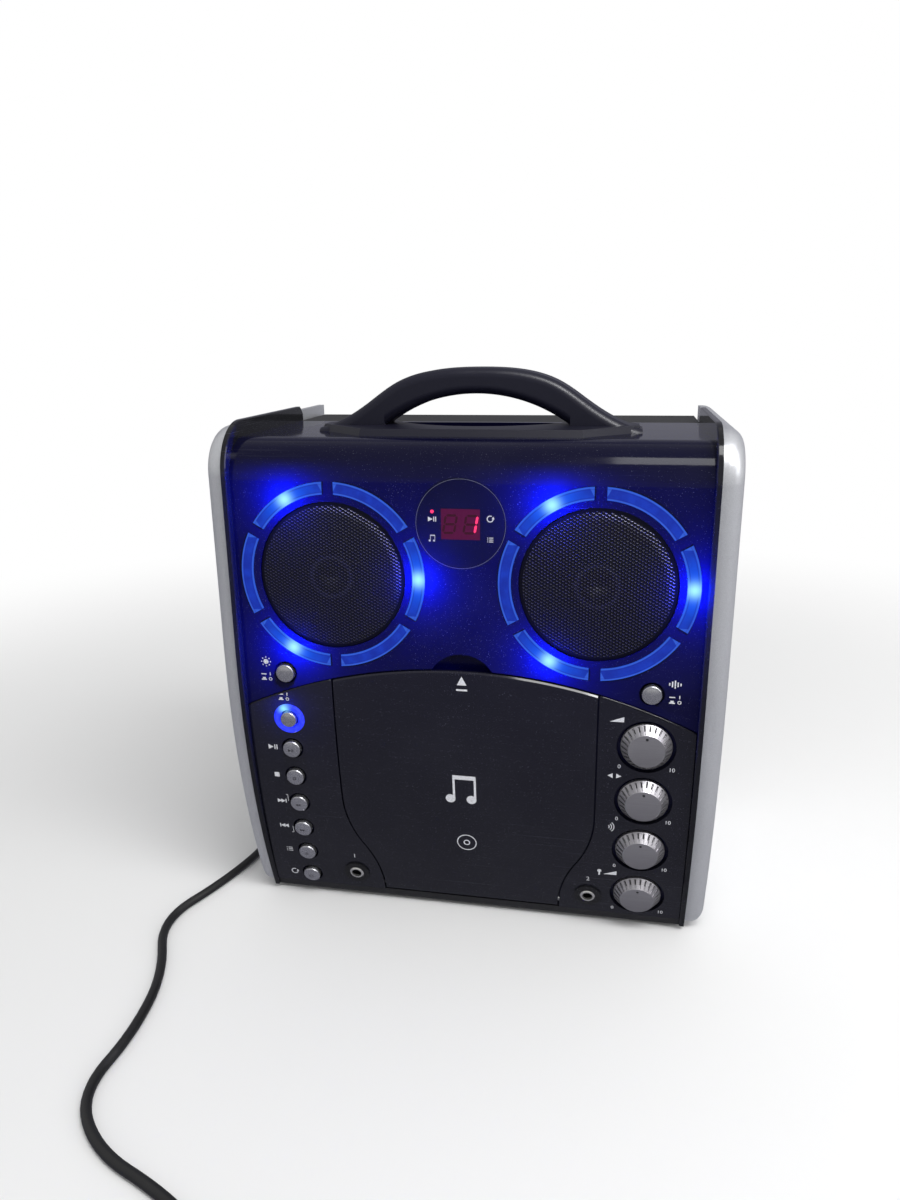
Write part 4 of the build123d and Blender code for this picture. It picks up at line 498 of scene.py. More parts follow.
well_black = textured_plastic("well_black", (0.02, 0.02, 0.022), 2900, 0.5)
give(well_black, "disc_well")
give(bare_steel("chassis_steel", (0.42, 0.42, 0.43), 0.3), "mech_chassis")
give(pin_steel, "sled_rods", "spindle_shaft")
give(bare_steel("motor_can", (0.46, 0.46, 0.47), 1.2), "sled_motor", "spindle_motor")
give(textured_plastic("sled_grey", (0.06, 0.06, 0.065), 3000, 0.42), "pickup_sled")
give(textured_plastic("gear_white", (0.5, 0.5, 0.47), 3000, 0.4), "sled_pinion", "turntable")

# ------------------------------------------------ speakers, grilles and light rings
# Each speaker sits behind a shallow dome of perforated black sheet. Round it run six translucent
# blue light guides on one moulded ring, and three of them have a lamp right behind them.

SPEAKERS = {"left": -0.075, "right": 0.075}
SPEAKER_Z = 0.230
HOLE_PITCH = 0.00193
HOLES_END, DUST_CAP_EDGE = 0.0405, 0.0115
RING_MIDDLE, RING_HALF = 0.0508, 0.0036
GUIDE_HALF_LENGTH = 0.0225
SPOT_REACH, GLOW_REACH = 0.0043, 0.0135
LAMP_TURNS = (0, 120, 240)


def round_place(place, x, z):
    """Distances across and up from a point of the front, and the distance from it."""
    across, up = place.axis(0) - x, place.axis(2) - z
    return across, up, (across * across + up * up).maths("SQRT")


def perforated(name, x):
    """Black sheet with staggered round holes. The holes are near black: painted shade for the dark
    speaker behind them. A painted glint lies on the lower side of each hole's edge, stronger round
    the upper right of the border, and a faint painted highlight ring lies over the dust cap's edge.
    The holes' own distances are in parts of their pitch."""
    material, shader, place = start_finish(name, IOR=1.5)
    across, up, reach = round_place(place, x, SPEAKER_Z)
    rows, painted_glints = [], []
    for shift in (0.0, 0.5):
        along = (up / HOLE_PITCH + shift).maths("FRACT") - 0.5
        aside = ((across / (HOLE_PITCH * math.sqrt(3)) + shift).maths("FRACT") - 0.5) * math.sqrt(3)
        far_off = (along * along + aside * aside).maths("SQRT")
        rows.append(far_off)
        lip = far_off.clear(0.25, 0.33) * (1 - far_off.clear(0.38, 0.46))
        # Painted highlight: a glint on the lower side of each hole's edge, as if lit from above.
        painted_glints.append(lip * (aside * -0.35 - along).clear(0.1, 0.28))
    middle = rows[0].maths("MINIMUM", rows[1])
    inside = 1 - reach.clear(HOLES_END, HOLES_END + 0.0006)
    hole = (1 - middle.clear(0.27, 0.36)) * inside
    # Painted highlight: the glints grow brighter round the upper right of the border.
    edge = reach.clear(0.0355, 0.039) * (across + up).clear(0.02, 0.05)
    # Painted highlight: a faint pale ring on the sheet over the edge of the dust cap behind.
    cap = (1 - abs(reach - DUST_CAP_EDGE).clear(0.0, 0.0022)) * 0.018
    painted_rim_highlight = (painted_glints[0] + painted_glints[1]) * inside * (0.13 + edge * 0.6)
    sheet = (painted_rim_highlight + cap).blend((0.0045, 0.0045, 0.007, 1), (0.6, 0.6, 0.68, 1))
    # Painted shade: the holes are near black for the dark behind them.
    drive(shader, hole.blend(sheet, (0.0006, 0.0006, 0.001, 1)), "Base Color")
    drive(shader, (1 - hole) * 0.75, "Metallic")
    drive(shader, 0.34 + hole * 0.6 + place.noise(700) * 0.08, "Roughness")
    drive(shader, (1 - hole).relief(0.55, 0.0003), "Normal")
    return material


def lit_guide(name, x):
    """Blue light guide: a raised border, a soft glow all along and white-hot spots at the lamps."""
    settings = {"Roughness": 0.22, "Specular_IOR_Level": 0.3, "Emission_Strength": 1.0}
    material, shader, place = start_finish(name, **settings)
    across, up, reach = round_place(place, x, SPEAKER_Z)
    spot, glow = 0.0, 0.0
    for turn in LAMP_TURNS:
        angle = math.radians(turn)
        a = across - RING_MIDDLE * math.cos(angle)
        b = up - RING_MIDDLE * math.sin(angle)
        away = a * a + b * b
        spot = (away / -(SPOT_REACH**2)).maths("EXPONENT") + spot
        glow = (away / -(GLOW_REACH**2)).maths("EXPONENT") + glow
    turned = up.maths("ARCTAN2", across) + math.radians(390)
    along = abs(turned.maths("MODULO", math.radians(60)) - math.radians(30)) * reach
    border = abs(reach - RING_MIDDLE).clear(RING_HALF - 0.0011, RING_HALF - 0.0008)
    ends = along.clear(GUIDE_HALF_LENGTH - 0.0003, GUIDE_HALF_LENGTH)
    border = border.maths("MAXIMUM", ends)
    groove = abs(abs(reach - RING_MIDDLE) - (RING_HALF - 0.0014)).clear(0.0001, 0.0004)
    streak = place.noise(160, 3).clear(0.3, 0.75)
    body = (0.2 + streak * 0.6).blend((0.001, 0.009, 0.2, 1), (0.004, 0.035, 0.42, 1))
    body = (glow * 0.95).blend(body, (0.0, 0.11, 1.0, 1))
    body = (border * (1 - spot) * 0.3).blend(body, (0.05, 0.2, 0.85, 1))
    body = ((1 - groove) * 0.5 * (1 - spot)).blend(body, (0.002, 0.01, 0.22, 1))
    body = spot.maths("MINIMUM", 1.0).blend(body, (0.4, 0.95, 1.0, 1))
    plastic = (border * 0.5).blend((0.004, 0.012, 0.12, 1), (0.02, 0.05, 0.25, 1))
    drive(shader, plastic, "Base Color")
    drive(shader, body, "Emission Color")
    drive(shader, (border * 0.6 + streak * 0.1).relief(0.5, 0.0004), "Normal")
    return material


def lit_together(name, *receivers):
    """The nodes that one kind of small lamp reaches."""
    collection = bpy.data.collections.new(name)
    for receiver in receivers:
        collection.objects.link(nodes[receiver])
    return collection


gloss_front = ("front_housing", "display_lens", "side_rim_left", "side_rim_right")
lit_lower = lit_together("lit_lower", "disc_door", "control_panel_left", "control_panel_right")
lit_housing = lit_together("lit_housing", *gloss_front)
lit_front = lit_together("lit_front", *gloss_front, "grille_left", "grille_right")
SPILL_WATTS, HAZE_WATTS, LOW_HAZE_WATTS = 0.6, 0.2, 0.1


def lamp_light(name, place, watts, size, receivers):
    """A small blue lamp before the housing. It lights its receivers alone, and gloss misses it."""
    light = bpy.data.lights.new(name, "POINT")
    light.color = (0.0, 0.02, 1.0)
    light.energy = watts
    light.shadow_soft_size = size
    lamp = bpy.data.objects.new(name, light)
    lamp.location = place
    lamp.visible_glossy = False
    lamp.light_linking.receiver_collection = receivers
    bpy.context.scene.collection.objects.link(lamp)


for side, x in SPEAKERS.items():
    give(perforated(f"grille_sheet_{side}", x), f"grille_{side}")
    give(lit_guide(f"light_guide_{side}", x), f"light_ring_{side}")
    for turn in LAMP_TURNS:
        angle = math.radians(turn)
        a, b = x + RING_MIDDLE * math.cos(angle), SPEAKER_Z + RING_MIDDLE * math.sin(angle)
        spill = face_point(a, b, 0.010)
        lamp_light(f"spill_{side}_{turn}", spill, SPILL_WATTS, 0.004, lit_front)
    haze, low_haze = face_point(x, SPEAKER_Z, 0.08), face_point(x * 0.7, SPEAKER_Z, 0.07)
    lamp_light(f"haze_{side}", haze, HAZE_WATTS, 0.03, lit_housing)
    lamp_light(f"haze_low_{side}", low_haze, LOW_HAZE_WATTS, 0.03, lit_lower)


def cone_paper():
    """Pressed paper pulp with fibres and faint rings."""
    material, shader, place = start_finish("cone_paper", Roughness=0.85)
    fibre = place.noise(900, 4, 0.7)
    drive(shader, fibre.blend((0.012, 0.012, 0.012, 1), (0.05, 0.05, 0.048, 1)), "Base Color")
    drive(shader, fibre.relief(0.5, 0.0002), "Normal")
    return material


def circuit_board():
    """Solder mask over copper tracks, with bright pads."""
    material, shader, place = start_finish("board_green", IOR=1.5)
    tracks = place.node("TexBrick", {}, {"Vector": place, "Scale": 260.0}, 1)
    pads = place.node("TexVoronoi", {}, {"Vector": place, "Scale": 300.0}).clear(0.12, 0.2)
    mask = (0.02, 0.13, 0.045)
    shade = tracks.blend(rgba(mask), rgba(mask, 1.8))
    drive(shader, pads.blend((0.5, 0.5, 0.48, 1), shade), "Base Color")
    drive(shader, (1 - pads) * 0.8, "Metallic")
    drive(shader, 0.3 + place.noise(300) * 0.15, "Roughness")
    drive(shader, tracks.relief(0.2, 0.0001), "Normal")
    return material


board_green = circuit_board()
give(board_green, "led_boards")
give(cone_paper(), "speaker_cones")
give(bare_steel("basket_steel", (0.3, 0.3, 0.31), 0.7), "speaker_baskets")

# ------------------------------------------------ display
# A round black lens sits almost flush above the speakers, with a dark red window over two
# seven-bar digits. Only the right-hand one and a small red lamp beside the window are lit.

DISPLAY_Z = 262.3
LENS_PROUD = 0.0002
lens_black = polished_plastic("lens_black", (0.004, 0.004, 0.011), 0.6, 0.16)
give(lens_black, "display_lens")
give(board_green, "display_module")


def glowing(name, colour, dark, strength):
    """Tinted plastic that gives out light, a little stronger in the middle of its grain. For the
    lit bars and the lamp it is light from behind. For the window and the unlit bars it is a painted
    glow.
    """
    material, shader, place = start_finish(name, Roughness=0.1, Emission_Strength=strength)
    grain = place.noise(900, 2)
    glow = grain.clear(0.1, 0.6).blend(rgba(colour, 0.8), rgba(colour))
    drive(shader, grain.blend(rgba(dark), rgba(dark, 1.3)), "Base Color")
    drive(shader, glow, "Emission Color")
    return material


DIGIT_HEIGHT, DIGIT_LEAN = 11.0, 0.18
LEFT_DIGIT_X, RIGHT_DIGIT_X = -5.8, 5.6


def seven_bars(x, lit):
    """Outlines of a digit's bars, each a long hexagon. The bars are lettered in the usual way."""
    wide, tall, thick = DIGIT_HEIGHT * 0.56, DIGIT_HEIGHT, DIGIT_HEIGHT * 0.12
    ends = {
        "a": ((0, 1), (1, 1)),
        "b": ((1, 1), (1, 0)),
        "c": ((1, 0), (1, -1)),
        "d": ((0, -1), (1, -1)),
        "e": ((0, 0), (0, -1)),
        "f": ((0, 1), (0, 0)),
        "g": ((0, 0), (1, 0)),
    }
    shapes = []
    for key in lit:
        (ax, az), (bx, bz) = ends[key]
        first = Vector(((ax - 0.5) * wide, az * (tall - thick) / 2))
        last = Vector(((bx - 0.5) * wide, bz * (tall - thick) / 2))
        way = (last - first).normalized()
        cross = Vector((-way.y, way.x)) * thick / 2
        first, last = first + way * thick * 0.18, last - way * thick * 0.18
        nose = way * thick / 2
        upper = [first + nose + cross, last - nose + cross]
        lower = [last - nose - cross, first + nose - cross]
        outline = [first, *upper, last, *lower]
        shapes.append([(x + at.x + at.y * DIGIT_LEAN, DISPLAY_Z + at.y) for at in outline])
    return shapes


# Painted glow: the window and the unlit bars give out a faint light, though nothing lights them.
window_red_painted_glow = glowing("window_red_painted_glow", (0.05, 0.0, 0.03), (0.03, 0.001, 0.012), 1.0)
bar_dark_painted_glow = glowing("bar_dark_painted_glow", (0.02, 0.0, 0.009), (0.02, 0.001, 0.006), 1.0)
bar_lit = glowing("bar_lit", (1.0, 0.03, 0.16), (0.4, 0.02, 0.05), 1.1)
window = bar(0, DISPLAY_Z, 21.6, 17.0)
dark_bars = seven_bars(LEFT_DIGIT_X, "abcdefg") + seven_bars(RIGHT_DIGIT_X, "adefg")
lit_bars = seven_bars(RIGHT_DIGIT_X, "bc")
lamp_dot = arc(-15.7, DISPLAY_Z + 6.8, 1.0, 0)
for name, shapes, out, material in (
    ("display_window", window, LENS_PROUD, window_red_painted_glow),
    ("digits_dark", dark_bars, LENS_PROUD + INK_THICK, bar_dark_painted_glow),
    ("digits_lit", lit_bars, LENS_PROUD + INK_THICK, bar_lit),
    ("play_lamp", lamp_dot, LENS_PROUD, bar_lit),
):
    printed(name, shapes, out, material)
display_marks = play_pause(-15.6, DISPLAY_Z + 2.6, 2.7) + note(-15.6, DISPLAY_Z - 8.0, 3.6)
display_marks += loop_arrow(16.4, DISPLAY_Z + 3.4, 3.6) + listed(16.6, DISPLAY_Z - 8.2, 3.2)
printed("display_marks", display_marks, LENS_PROUD, pale_ink)
# Painted highlight: a thin pale ring stands for the light caught on the lens's rounded edge.
lens_edge_painted_highlight = arc(0, DISPLAY_Z, 25.0, 24.75, steps=96)
printed("lens_edge_painted_highlight", lens_edge_painted_highlight, LENS_PROUD, ink("painted_highlight_grey", (0.12, 0.13, 0.2)))

# ------------------------------------------------ push buttons, power ring and switches
# Silver caps with rounded edges and slightly domed tops stand in dark wells and press switches on a
# board behind them. The power button has a translucent ring round it, with a blue lamp at its top.

BUTTON_PROUD = 0.0024
DOME_RADIUS, POWER_DOME_RADIUS, DOME_RISE = 0.0046, 0.0040, 0.0008
button_silver = silver_spray("button_silver", (0.52, 0.52, 0.55), 0.24, 0.93)
dark_ink = ink("dark_ink", (0.02, 0.02, 0.024))


def dome_height(a, b):
    """How far a cap's crown stands over its flat top, at a place from its middle."""
    return DOME_RISE * max(1 - (a * a + b * b) / DOME_RADIUS**2, 0)


def crown(name, x, z, out, radius):
    """The slightly domed top of a button, as rings of faces round its middle."""
    origin, outward, upward = face_axes(x, z, out + BUTTON_PROUD)
    rings, steps = 6, 32
    points, faces = [origin + outward * DOME_RISE], []
    for ring in range(1, rings + 1):
        for step in range(steps):
            angle = 2 * math.pi * step / steps
            reach = radius * ring / rings
            a, b = reach * math.cos(angle), reach * math.sin(angle)
            rise = DOME_RISE * (1 - (ring / rings) ** 2)
            points.append(origin + Vector((a, 0, 0)) + upward * b + outward * rise)
            after = 1 + (ring - 1) * steps + (step + 1) % steps
            here = 1 + (ring - 1) * steps + step
            if ring == 1:
                faces.append([0, here, after])
            else:
                faces.append([here - steps, here, after, after - steps])
    body, slot = f"button_{name}", "silver_button"
    new_piece(f"crown_{name}", points, faces, button_silver, body, smooth=True)


caps = {
    "play": play_pause(0, 0, 1.9),
    "stop": bar(0, 0, 1.9, 1.9),
    "skip_back": arrow(-0.8, 0, 1.7, 180) + arrow(0.8, 0, 1.7, 180),
    "skip_forward": arrow(-0.8, 0, 1.7) + arrow(0.8, 0, 1.7),
    "program": listed(0, 0, 2.2),
    "repeat": loop_arrow(0, 0, 2.6),
}
cap_top = PANEL_PROUD + BUTTON_PROUD + INK_THICK
for (name, shapes), z in zip(caps.items(), SMALL_BUTTONS):
    give(button_silver, f"button_{name}")
    origin, outward, upward = face_axes(-BUTTON_X / 1000, z / 1000, cap_top)
    points, faces = [], []
    for shape in shapes:
        faces.append(list(range(len(points), len(points) + len(shape))))
        for a, b in shape:
            above = dome_height(a / 1000, b / 1000)
            points.append(origin + Vector((a / 1000, 0, 0)) + upward * (b / 1000) + outward * above)
    crown(name, -BUTTON_X / 1000, z / 1000, PANEL_PROUD, DOME_RADIUS)
    new_piece(f"cap_mark_{name}", points, faces, dark_ink, f"button_{name}")
give(button_silver, "button_disco_light", "button_voice_control", "button_power")
crown("disco_light", -BUTTON_X / 1000, UPPER_BUTTON_Z / 1000, 0, DOME_RADIUS)
crown("voice_control", BUTTON_X / 1000, UPPER_BUTTON_Z / 1000, 0, DOME_RADIUS)
crown("power", -BUTTON_X / 1000, POWER_Z / 1000, PANEL_PROUD, POWER_DOME_RADIUS)

POWER_SPOT_X, POWER_SPOT_Z, POWER_SPOT_REACH = -0.0025, 0.0068, 0.0028


def ring_glow():
    """The power button's collar, brightest at the lamp over it."""
    material, shader, place = start_finish("ring_glow", Roughness=0.2, Emission_Strength=1.0)
    across, up, _ = round_place(place, -BUTTON_X / 1000, POWER_Z / 1000)
    a, b = across - POWER_SPOT_X, up - POWER_SPOT_Z
    spot = ((a * a + b * b) / -(POWER_SPOT_REACH**2)).maths("EXPONENT")
    haze = place.noise(420, 2).clear(0.3, 0.7)
    body = (haze * 0.5).blend((0.004, 0.012, 0.75, 1), (0.02, 0.05, 1.0, 1))
    drive(shader, spot.blend(body, (0.3, 0.85, 1.0, 1)), "Emission Color")
    drive(shader, haze.blend((0.02, 0.03, 0.4, 1), (0.03, 0.05, 0.5, 1)), "Base Color")
    return material


give(ring_glow(), "power_ring")
POWER_SPILL_WATTS = 0.05
power_spill = face_point(-BUTTON_X / 1000 - 0.002, POWER_Z / 1000 + 0.007, 0.009)
lit_panel = lit_together("lit_panel", "control_panel_left")
lamp_light("spill_power", power_spill, POWER_SPILL_WATTS, 0.003, lit_panel)
give(textured_plastic("switch_grey", (0.07, 0.07, 0.075), 2600, 0.5), "latch_switches")
give(board_green, "switch_board")

# ------------------------------------------------ knobs and potentiometers
# Four turned-looking plastic knobs with a flat brushed face, a sloping edge cut with dark notches
# and a dot at the top. Each pushes onto the shaft of a small potentiometer.

KNOB_FACE, KNOB_EDGE, NOTCHES = 0.0102, 0.0144, 26
KNOB_PROUD, DOT_SUNK = 0.0048, 0.00022
DOT_OUT, DOT_RADIUS, DOT_SIDES = 0.0076, 0.0008, 16


def knob_silver(name, z):
    """Brushed face, almost black in the notches of the slope, and painted shade towards the lower
    edge.
    """
    material, shader, place = start_finish(name, IOR=1.5)
    origin, _, upward = face_axes(KNOB_X / 1000, z, PANEL_PROUD)
    offset = place.node("VectorMath", {"operation": "SUBTRACT"}, {0: place, 1: origin})
    across = offset.axis(0)
    up = offset.node("VectorMath", {"operation": "DOT_PRODUCT"}, {0: offset, 1: upward}, 1)
    reach = (across * across + up * up).maths("SQRT")
    turn = up.maths("ARCTAN2", across) * (NOTCHES / (2 * math.pi)) + NOTCHES
    off_notch = abs((turn + 0.5).maths("FRACT") - 0.5) * (2 * math.pi / NOTCHES) * reach
    notch = 1 - off_notch.clear(0.00032, 0.0005)
    notch = notch * reach.clear(KNOB_FACE + 0.0009, KNOB_FACE + 0.0013)
    notch = notch * (1 - reach.clear(KNOB_EDGE - 0.0014, KNOB_EDGE - 0.001))
    grain = place.stretched(0.0, (60, 60, 7000)).noise(1, 2)
    flat = 1 - reach.clear(KNOB_FACE - 0.0001, KNOB_FACE + 0.0001)
    shade = (grain * 0.8).blend((0.3, 0.29, 0.31, 1), (0.55, 0.54, 0.57, 1))
    # Painted shade: the knob grows darker towards its lower edge, as if lit from above.
    shade = ((1 - up.clear(-0.014, 0.014)) * 0.35).blend(shade, (0.1, 0.1, 0.11, 1))
    drive(shader, (notch * 0.94).blend(shade, (0.006, 0.006, 0.008, 1)), "Base Color")
    drive(shader, (1 - notch) * 0.8, "Metallic")
    drive(shader, 0.3 + grain * 0.14 + flat * 0.06 + notch * 0.3, "Roughness")
    drive(shader, (grain * flat).relief(0.12, 0.0001), "Normal")
    return material


for name, z in KNOBS.items():
    give(knob_silver(f"knob_silver_{name}", z / 1000), f"knob_{name}")
    origin, _, upward = face_axes(KNOB_X / 1000, z / 1000, PANEL_PROUD + KNOB_PROUD - DOT_SUNK)
    points = [origin + upward * DOT_OUT]
    for step in range(DOT_SIDES):
        angle = math.radians(360 / DOT_SIDES * step)
        aside = Vector((math.cos(angle), 0, 0)) * DOT_RADIUS
        points.append(points[0] + aside + upward * math.sin(angle) * DOT_RADIUS)
    faces = [[0, 1 + step, 1 + (step + 1) % DOT_SIDES] for step in range(DOT_SIDES)]
    new_piece(f"knob_dot_{name}", points, faces, dark_ink, f"knob_{name}")
give(bare_steel("pot_steel", (0.44, 0.44, 0.44), 0.9), "potentiometers")

# ------------------------------------------------ microphone jacks
# Two sockets for 6.35 mm plugs: black plastic bushings that come through the panels from behind,
# each with a bright nickel-plated ring round its hole.


def nickel():
    """Nickel plating with slight wear."""
    material, shader, place = start_finish("nickel", Metallic=0.85)
    wear = place.noise(600, 3)
    drive(shader, wear.blend((0.62, 0.61, 0.58, 1), (0.8, 0.79, 0.77, 1)), "Base Color")
    drive(shader, 0.12 + wear * 0.12, "Roughness")
    return material


give(polished_plastic("jack_black", (0.008, 0.008, 0.009), 0.8), "mic_jacks")
bright_nickel = nickel()
give(bright_nickel, "jack_collars")

# ------------------------------------------------ electronics
# The main board lies flat on posts of the base, with the phono sockets behind it at the rear wall.
# The mains transformer sits on the base beside it.

WHITE_FROM, RED_FROM = 0.061, 0.079


def phono_plastic():
    """Red, white and yellow sockets moulded side by side."""
    material, shader, place = start_finish("phono_plastic", IOR=1.5)
    x = place.axis(0)
    white, red = (x.clear(start - 0.0002, start + 0.0002) for start in (WHITE_FROM, RED_FROM))
    shade = red.blend(white.blend((0.6, 0.5, 0.03, 1), (0.7, 0.7, 0.68, 1)), (0.5, 0.02, 0.02, 1))
    drive(shader, (place.noise(500) * 0.2).blend(shade, (0.05, 0.05, 0.05, 1)), "Base Color")
    drive(shader, 0.3 + place.noise(260) * 0.15, "Roughness")
    return material


give(board_green, "main_board")
give(bare_steel("core_steel", (0.2, 0.2, 0.21), 1.57), "transformer")
give(phono_plastic(), "rca_sockets")

# ------------------------------------------------ screws
# Zinc-plated steel screws: short ones hold each speaker to the housing from behind, and longer ones
# with cross heads hold the cabinet to the housing from the rear.

give(bare_steel("screw_zinc", (0.55, 0.54, 0.5), 0.6), "speaker_screws", "case_screws")

# ------------------------------------------------ mains cord, strain relief and plug
# A 1.8 m black vinyl cord leaves the back through a tapered strain relief, lies round the left side
# in loose bends and runs out in front, where the rest of it is wound into a round coil.

CORD = 0.0054
COIL_CENTRE = Vector((-0.0684, -0.3493, 0))
COIL_RADIUS = 0.0386
TURN_STEP = 0.0057
COIL_TURNS, COIL_START = 5 + 1 / 6, 60
POINTS_PER_TURN = 16
LAYER = 0.0056
PLUG_X, PLUG_Y, PLUG_Z = -0.0311, -0.3773, 0.006
route = [
    (-0.092, 0.1195, 0.028), (-0.092, 0.146, 0.028), (-0.098, 0.190, 0.0057),
    (-0.132, 0.218, 0.0027), (-0.176, 0.206, 0.0027), (-0.190, 0.158, 0.0027),
    (-0.178, 0.104, 0.0027), (-0.170, 0.044, 0.0027), (-0.158, -0.012, 0.0027),
    (-0.172, -0.066, 0.0027), (-0.194, -0.112, 0.0027), (-0.168, -0.158, 0.0027),
    (-0.161, -0.204, 0.0027), (-0.166, -0.246, 0.0027), (-0.140, -0.274, 0.0027),
    (-0.100, -0.288, 0.0027), (-0.0688, -0.3055, 0.0027),
]
steps = round(COIL_TURNS * POINTS_PER_TURN)
for step in range(steps + 1):
    turns = COIL_TURNS * step / steps
    from_middle = turns - COIL_TURNS / 2
    inward = COIL_TURNS / 2 - abs(from_middle)
    climb = min(max(from_middle + 0.5, 0), 1)
    radius = (COIL_RADIUS - TURN_STEP * inward) / math.cos(math.pi / POINTS_PER_TURN) ** 0.6
    angle = math.radians(COIL_START) - 2 * math.pi * turns
    route.append((
        COIL_CENTRE.x + radius * math.cos(angle),
        COIL_CENTRE.y + radius * math.sin(angle),
        CORD / 2 + LAYER * climb,
    ))
tail = Vector(route[-1])
route += [(tail.x, tail.y - 0.014, tail.z - 0.0005), (PLUG_X, tail.y - 0.0295, PLUG_Z)]

line = bpy.data.curves.new("mains_lead", "CURVE")
line.dimensions = "3D"
spline = line.splines.new("NURBS")
spline.points.add(len(route) - 1)
for control, point in zip(spline.points, route):
    control.co = (*point, 1)
spline.order_u = 3
spline.use_endpoint_u = True
spline.resolution_u = 8
line.bevel_depth = CORD / 2
line.bevel_resolution = 5
line.use_fill_caps = True
lead = bpy.data.objects.new("mains_lead", line)
bpy.context.scene.collection.objects.link(lead)


def vinyl():
    """Soft black vinyl with a dull skin and a few scuffs."""
    material, shader, place = start_finish("cord_black", IOR=1.5)
    skin = place.noise(1500, 2)
    scuff = place.noise(40, 3).clear(0.5, 0.75)
    shade = (scuff * 0.6 + skin * 0.2).blend((0.006, 0.006, 0.0065, 1), (0.022, 0.022, 0.024, 1))
    drive(shader, shade, "Base Color")
    drive(shader, 0.4 + scuff * 0.18 + skin * 0.06, "Roughness")
    drive(shader, skin.relief(0.25, 0.0002), "Normal")
    return material


cord_black = vinyl()
line.materials.append(cord_black)
lead.visible_glossy = False
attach(lead, "cabinet")
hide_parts("mains_cord", "cord_coil")
give(cord_black, "strain_relief")


def loft(name, sections, material, body, corner=5):
    """A skin over rounded rectangles: each is (centre, width, height, rounding), seen along Y."""
    points, faces = [], []
    for centre, width, height, rounding in sections:
        for quarter, (sx, sz) in enumerate(((1, 1), (-1, 1), (-1, -1), (1, -1))):
            for step in range(corner + 1):
                angle = math.radians(90 * quarter + 90 * step / corner)
                x = sx * (width / 2 - rounding) + rounding * math.cos(angle)
                z = sz * (height / 2 - rounding) + rounding * math.sin(angle)
                points.append(Vector(centre) + Vector((x, 0, z)))
    count = 4 * (corner + 1)
    for ring in range(len(sections) - 1):
        for step in range(count):
            a, b = ring * count + step, ring * count + (step + 1) % count
            faces.append([a, b, b + count, a + count])
    faces.append(list(range(count))[::-1])
    faces.append(list(range(len(points) - count, len(points))))
    piece = new_piece(name, points, faces, material, body, smooth=True)
    bm = bmesh.new()
    bm.from_mesh(piece.data)
    bmesh.ops.recalc_face_normals(bm, faces=bm.faces)
    bm.to_mesh(piece.data)
    bm.free()
    edge = piece.modifiers.new("edges", "BEVEL")
    edge.width = 0.0004
    edge.segments = 2
    edge.limit_method = "ANGLE"
    return piece


plug_sections = []
for run, width, height, rounding in (
    (0, 0.0085, 0.0085, 0.004),
    (0.003, 0.0095, 0.0095, 0.0045),
    (0.006, 0.011, 0.0105, 0.0045),
    (0.009, 0.017, 0.0115, 0.0045),
    (0.012, 0.0225, 0.0118, 0.0045),
    (0.0145, 0.0238, 0.0119, 0.0042),
    (0.0152, 0.0232, 0.0112, 0.0040),
    (0.016, 0.0238, 0.0119, 0.0042),
    (0.0255, 0.0238, 0.0119, 0.0038),
    (0.026, 0.0232, 0.0113, 0.0036),
):
    plug_sections.append(((PLUG_X, PLUG_Y - run, PLUG_Z), width, height, rounding))
plug = loft("plug_body", plug_sections, cord_black, "cabinet")
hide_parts("mains_plug")
BLADE_OFF_MIDDLE, BLADE_THICK, BLADE_ROUNDING = 0.00635, 0.0015, 0.0003
blades = []
for side, x in (("left", PLUG_X - BLADE_OFF_MIDDLE), ("right", PLUG_X + BLADE_OFF_MIDDLE)):
    blade = []
    for run, height in ((0.0255, 0.0063), (0.041, 0.0063), (0.043, 0.0045)):
        blade.append(((x, PLUG_Y - run, PLUG_Z), BLADE_THICK, height, BLADE_ROUNDING))
    blades.append(loft(f"plug_blade_{side}", blade, bright_nickel, "cabinet", 2))
for piece in (plug, *blades):
    piece.visible_glossy = False

# ------------------------------------------------ stage, lamps and camera
# A pale floor runs up into a pale backdrop, which gloss sees as a dimmer room. A soft lamp hangs
# over the front at the right, one beside it shows in gloss alone, and a weak one is at the side.

scene = bpy.context.scene
scene.view_settings.view_transform = "Standard"

FLOOR_GREY, BACKDROP_WHITE, DIM_ROOM = (0.86, 0.86, 0.86, 1), (1, 1, 1, 1), (0.24, 0.24, 0.28, 1)
FADE_START, FADE_END = 0.3, 1.1


def seen(flow):
    """1 for what the camera sees, directly or in gloss or glass."""
    rays = ("Is Camera Ray", "Is Glossy Ray", "Is Transmission Ray")
    paths = [flow.node("LightPath", {}, {}, name) for name in rays]
    return paths[0].maths("MAXIMUM", paths[1]).maths("MAXIMUM", paths[2])


settings = {"Base_Color": FLOOR_GREY, "Roughness": 0.7, "Specular_IOR_Level": 0.2}
floor_material, floor_shader, floor_place = start_finish("floor_pale", **settings)
across, along = floor_place.axis(0), floor_place.axis(1)
distance = (across * across + along * along).maths("SQRT")
shining = floor_place.node("LightPath", {}, {}, "Is Glossy Ray")
backdrop = (1 - shining).blend(DIM_ROOM, BACKDROP_WHITE)
white = floor_place.node("Emission", {}, {"Color": backdrop, "Strength": 1.0})
far = (distance.clear(FADE_START, FADE_END) * seen(floor_place)).maths("MAXIMUM", shining)
mixed = floor_place.node("MixShader", {}, {0: far, 2: white})
floor_tree = floor_material.node_tree
floor_tree.links.new(floor_shader.outputs[0], mixed.socket.node.inputs[1])
floor_tree.links.new(mixed.socket, floor_tree.nodes["Material Output"].inputs[0])

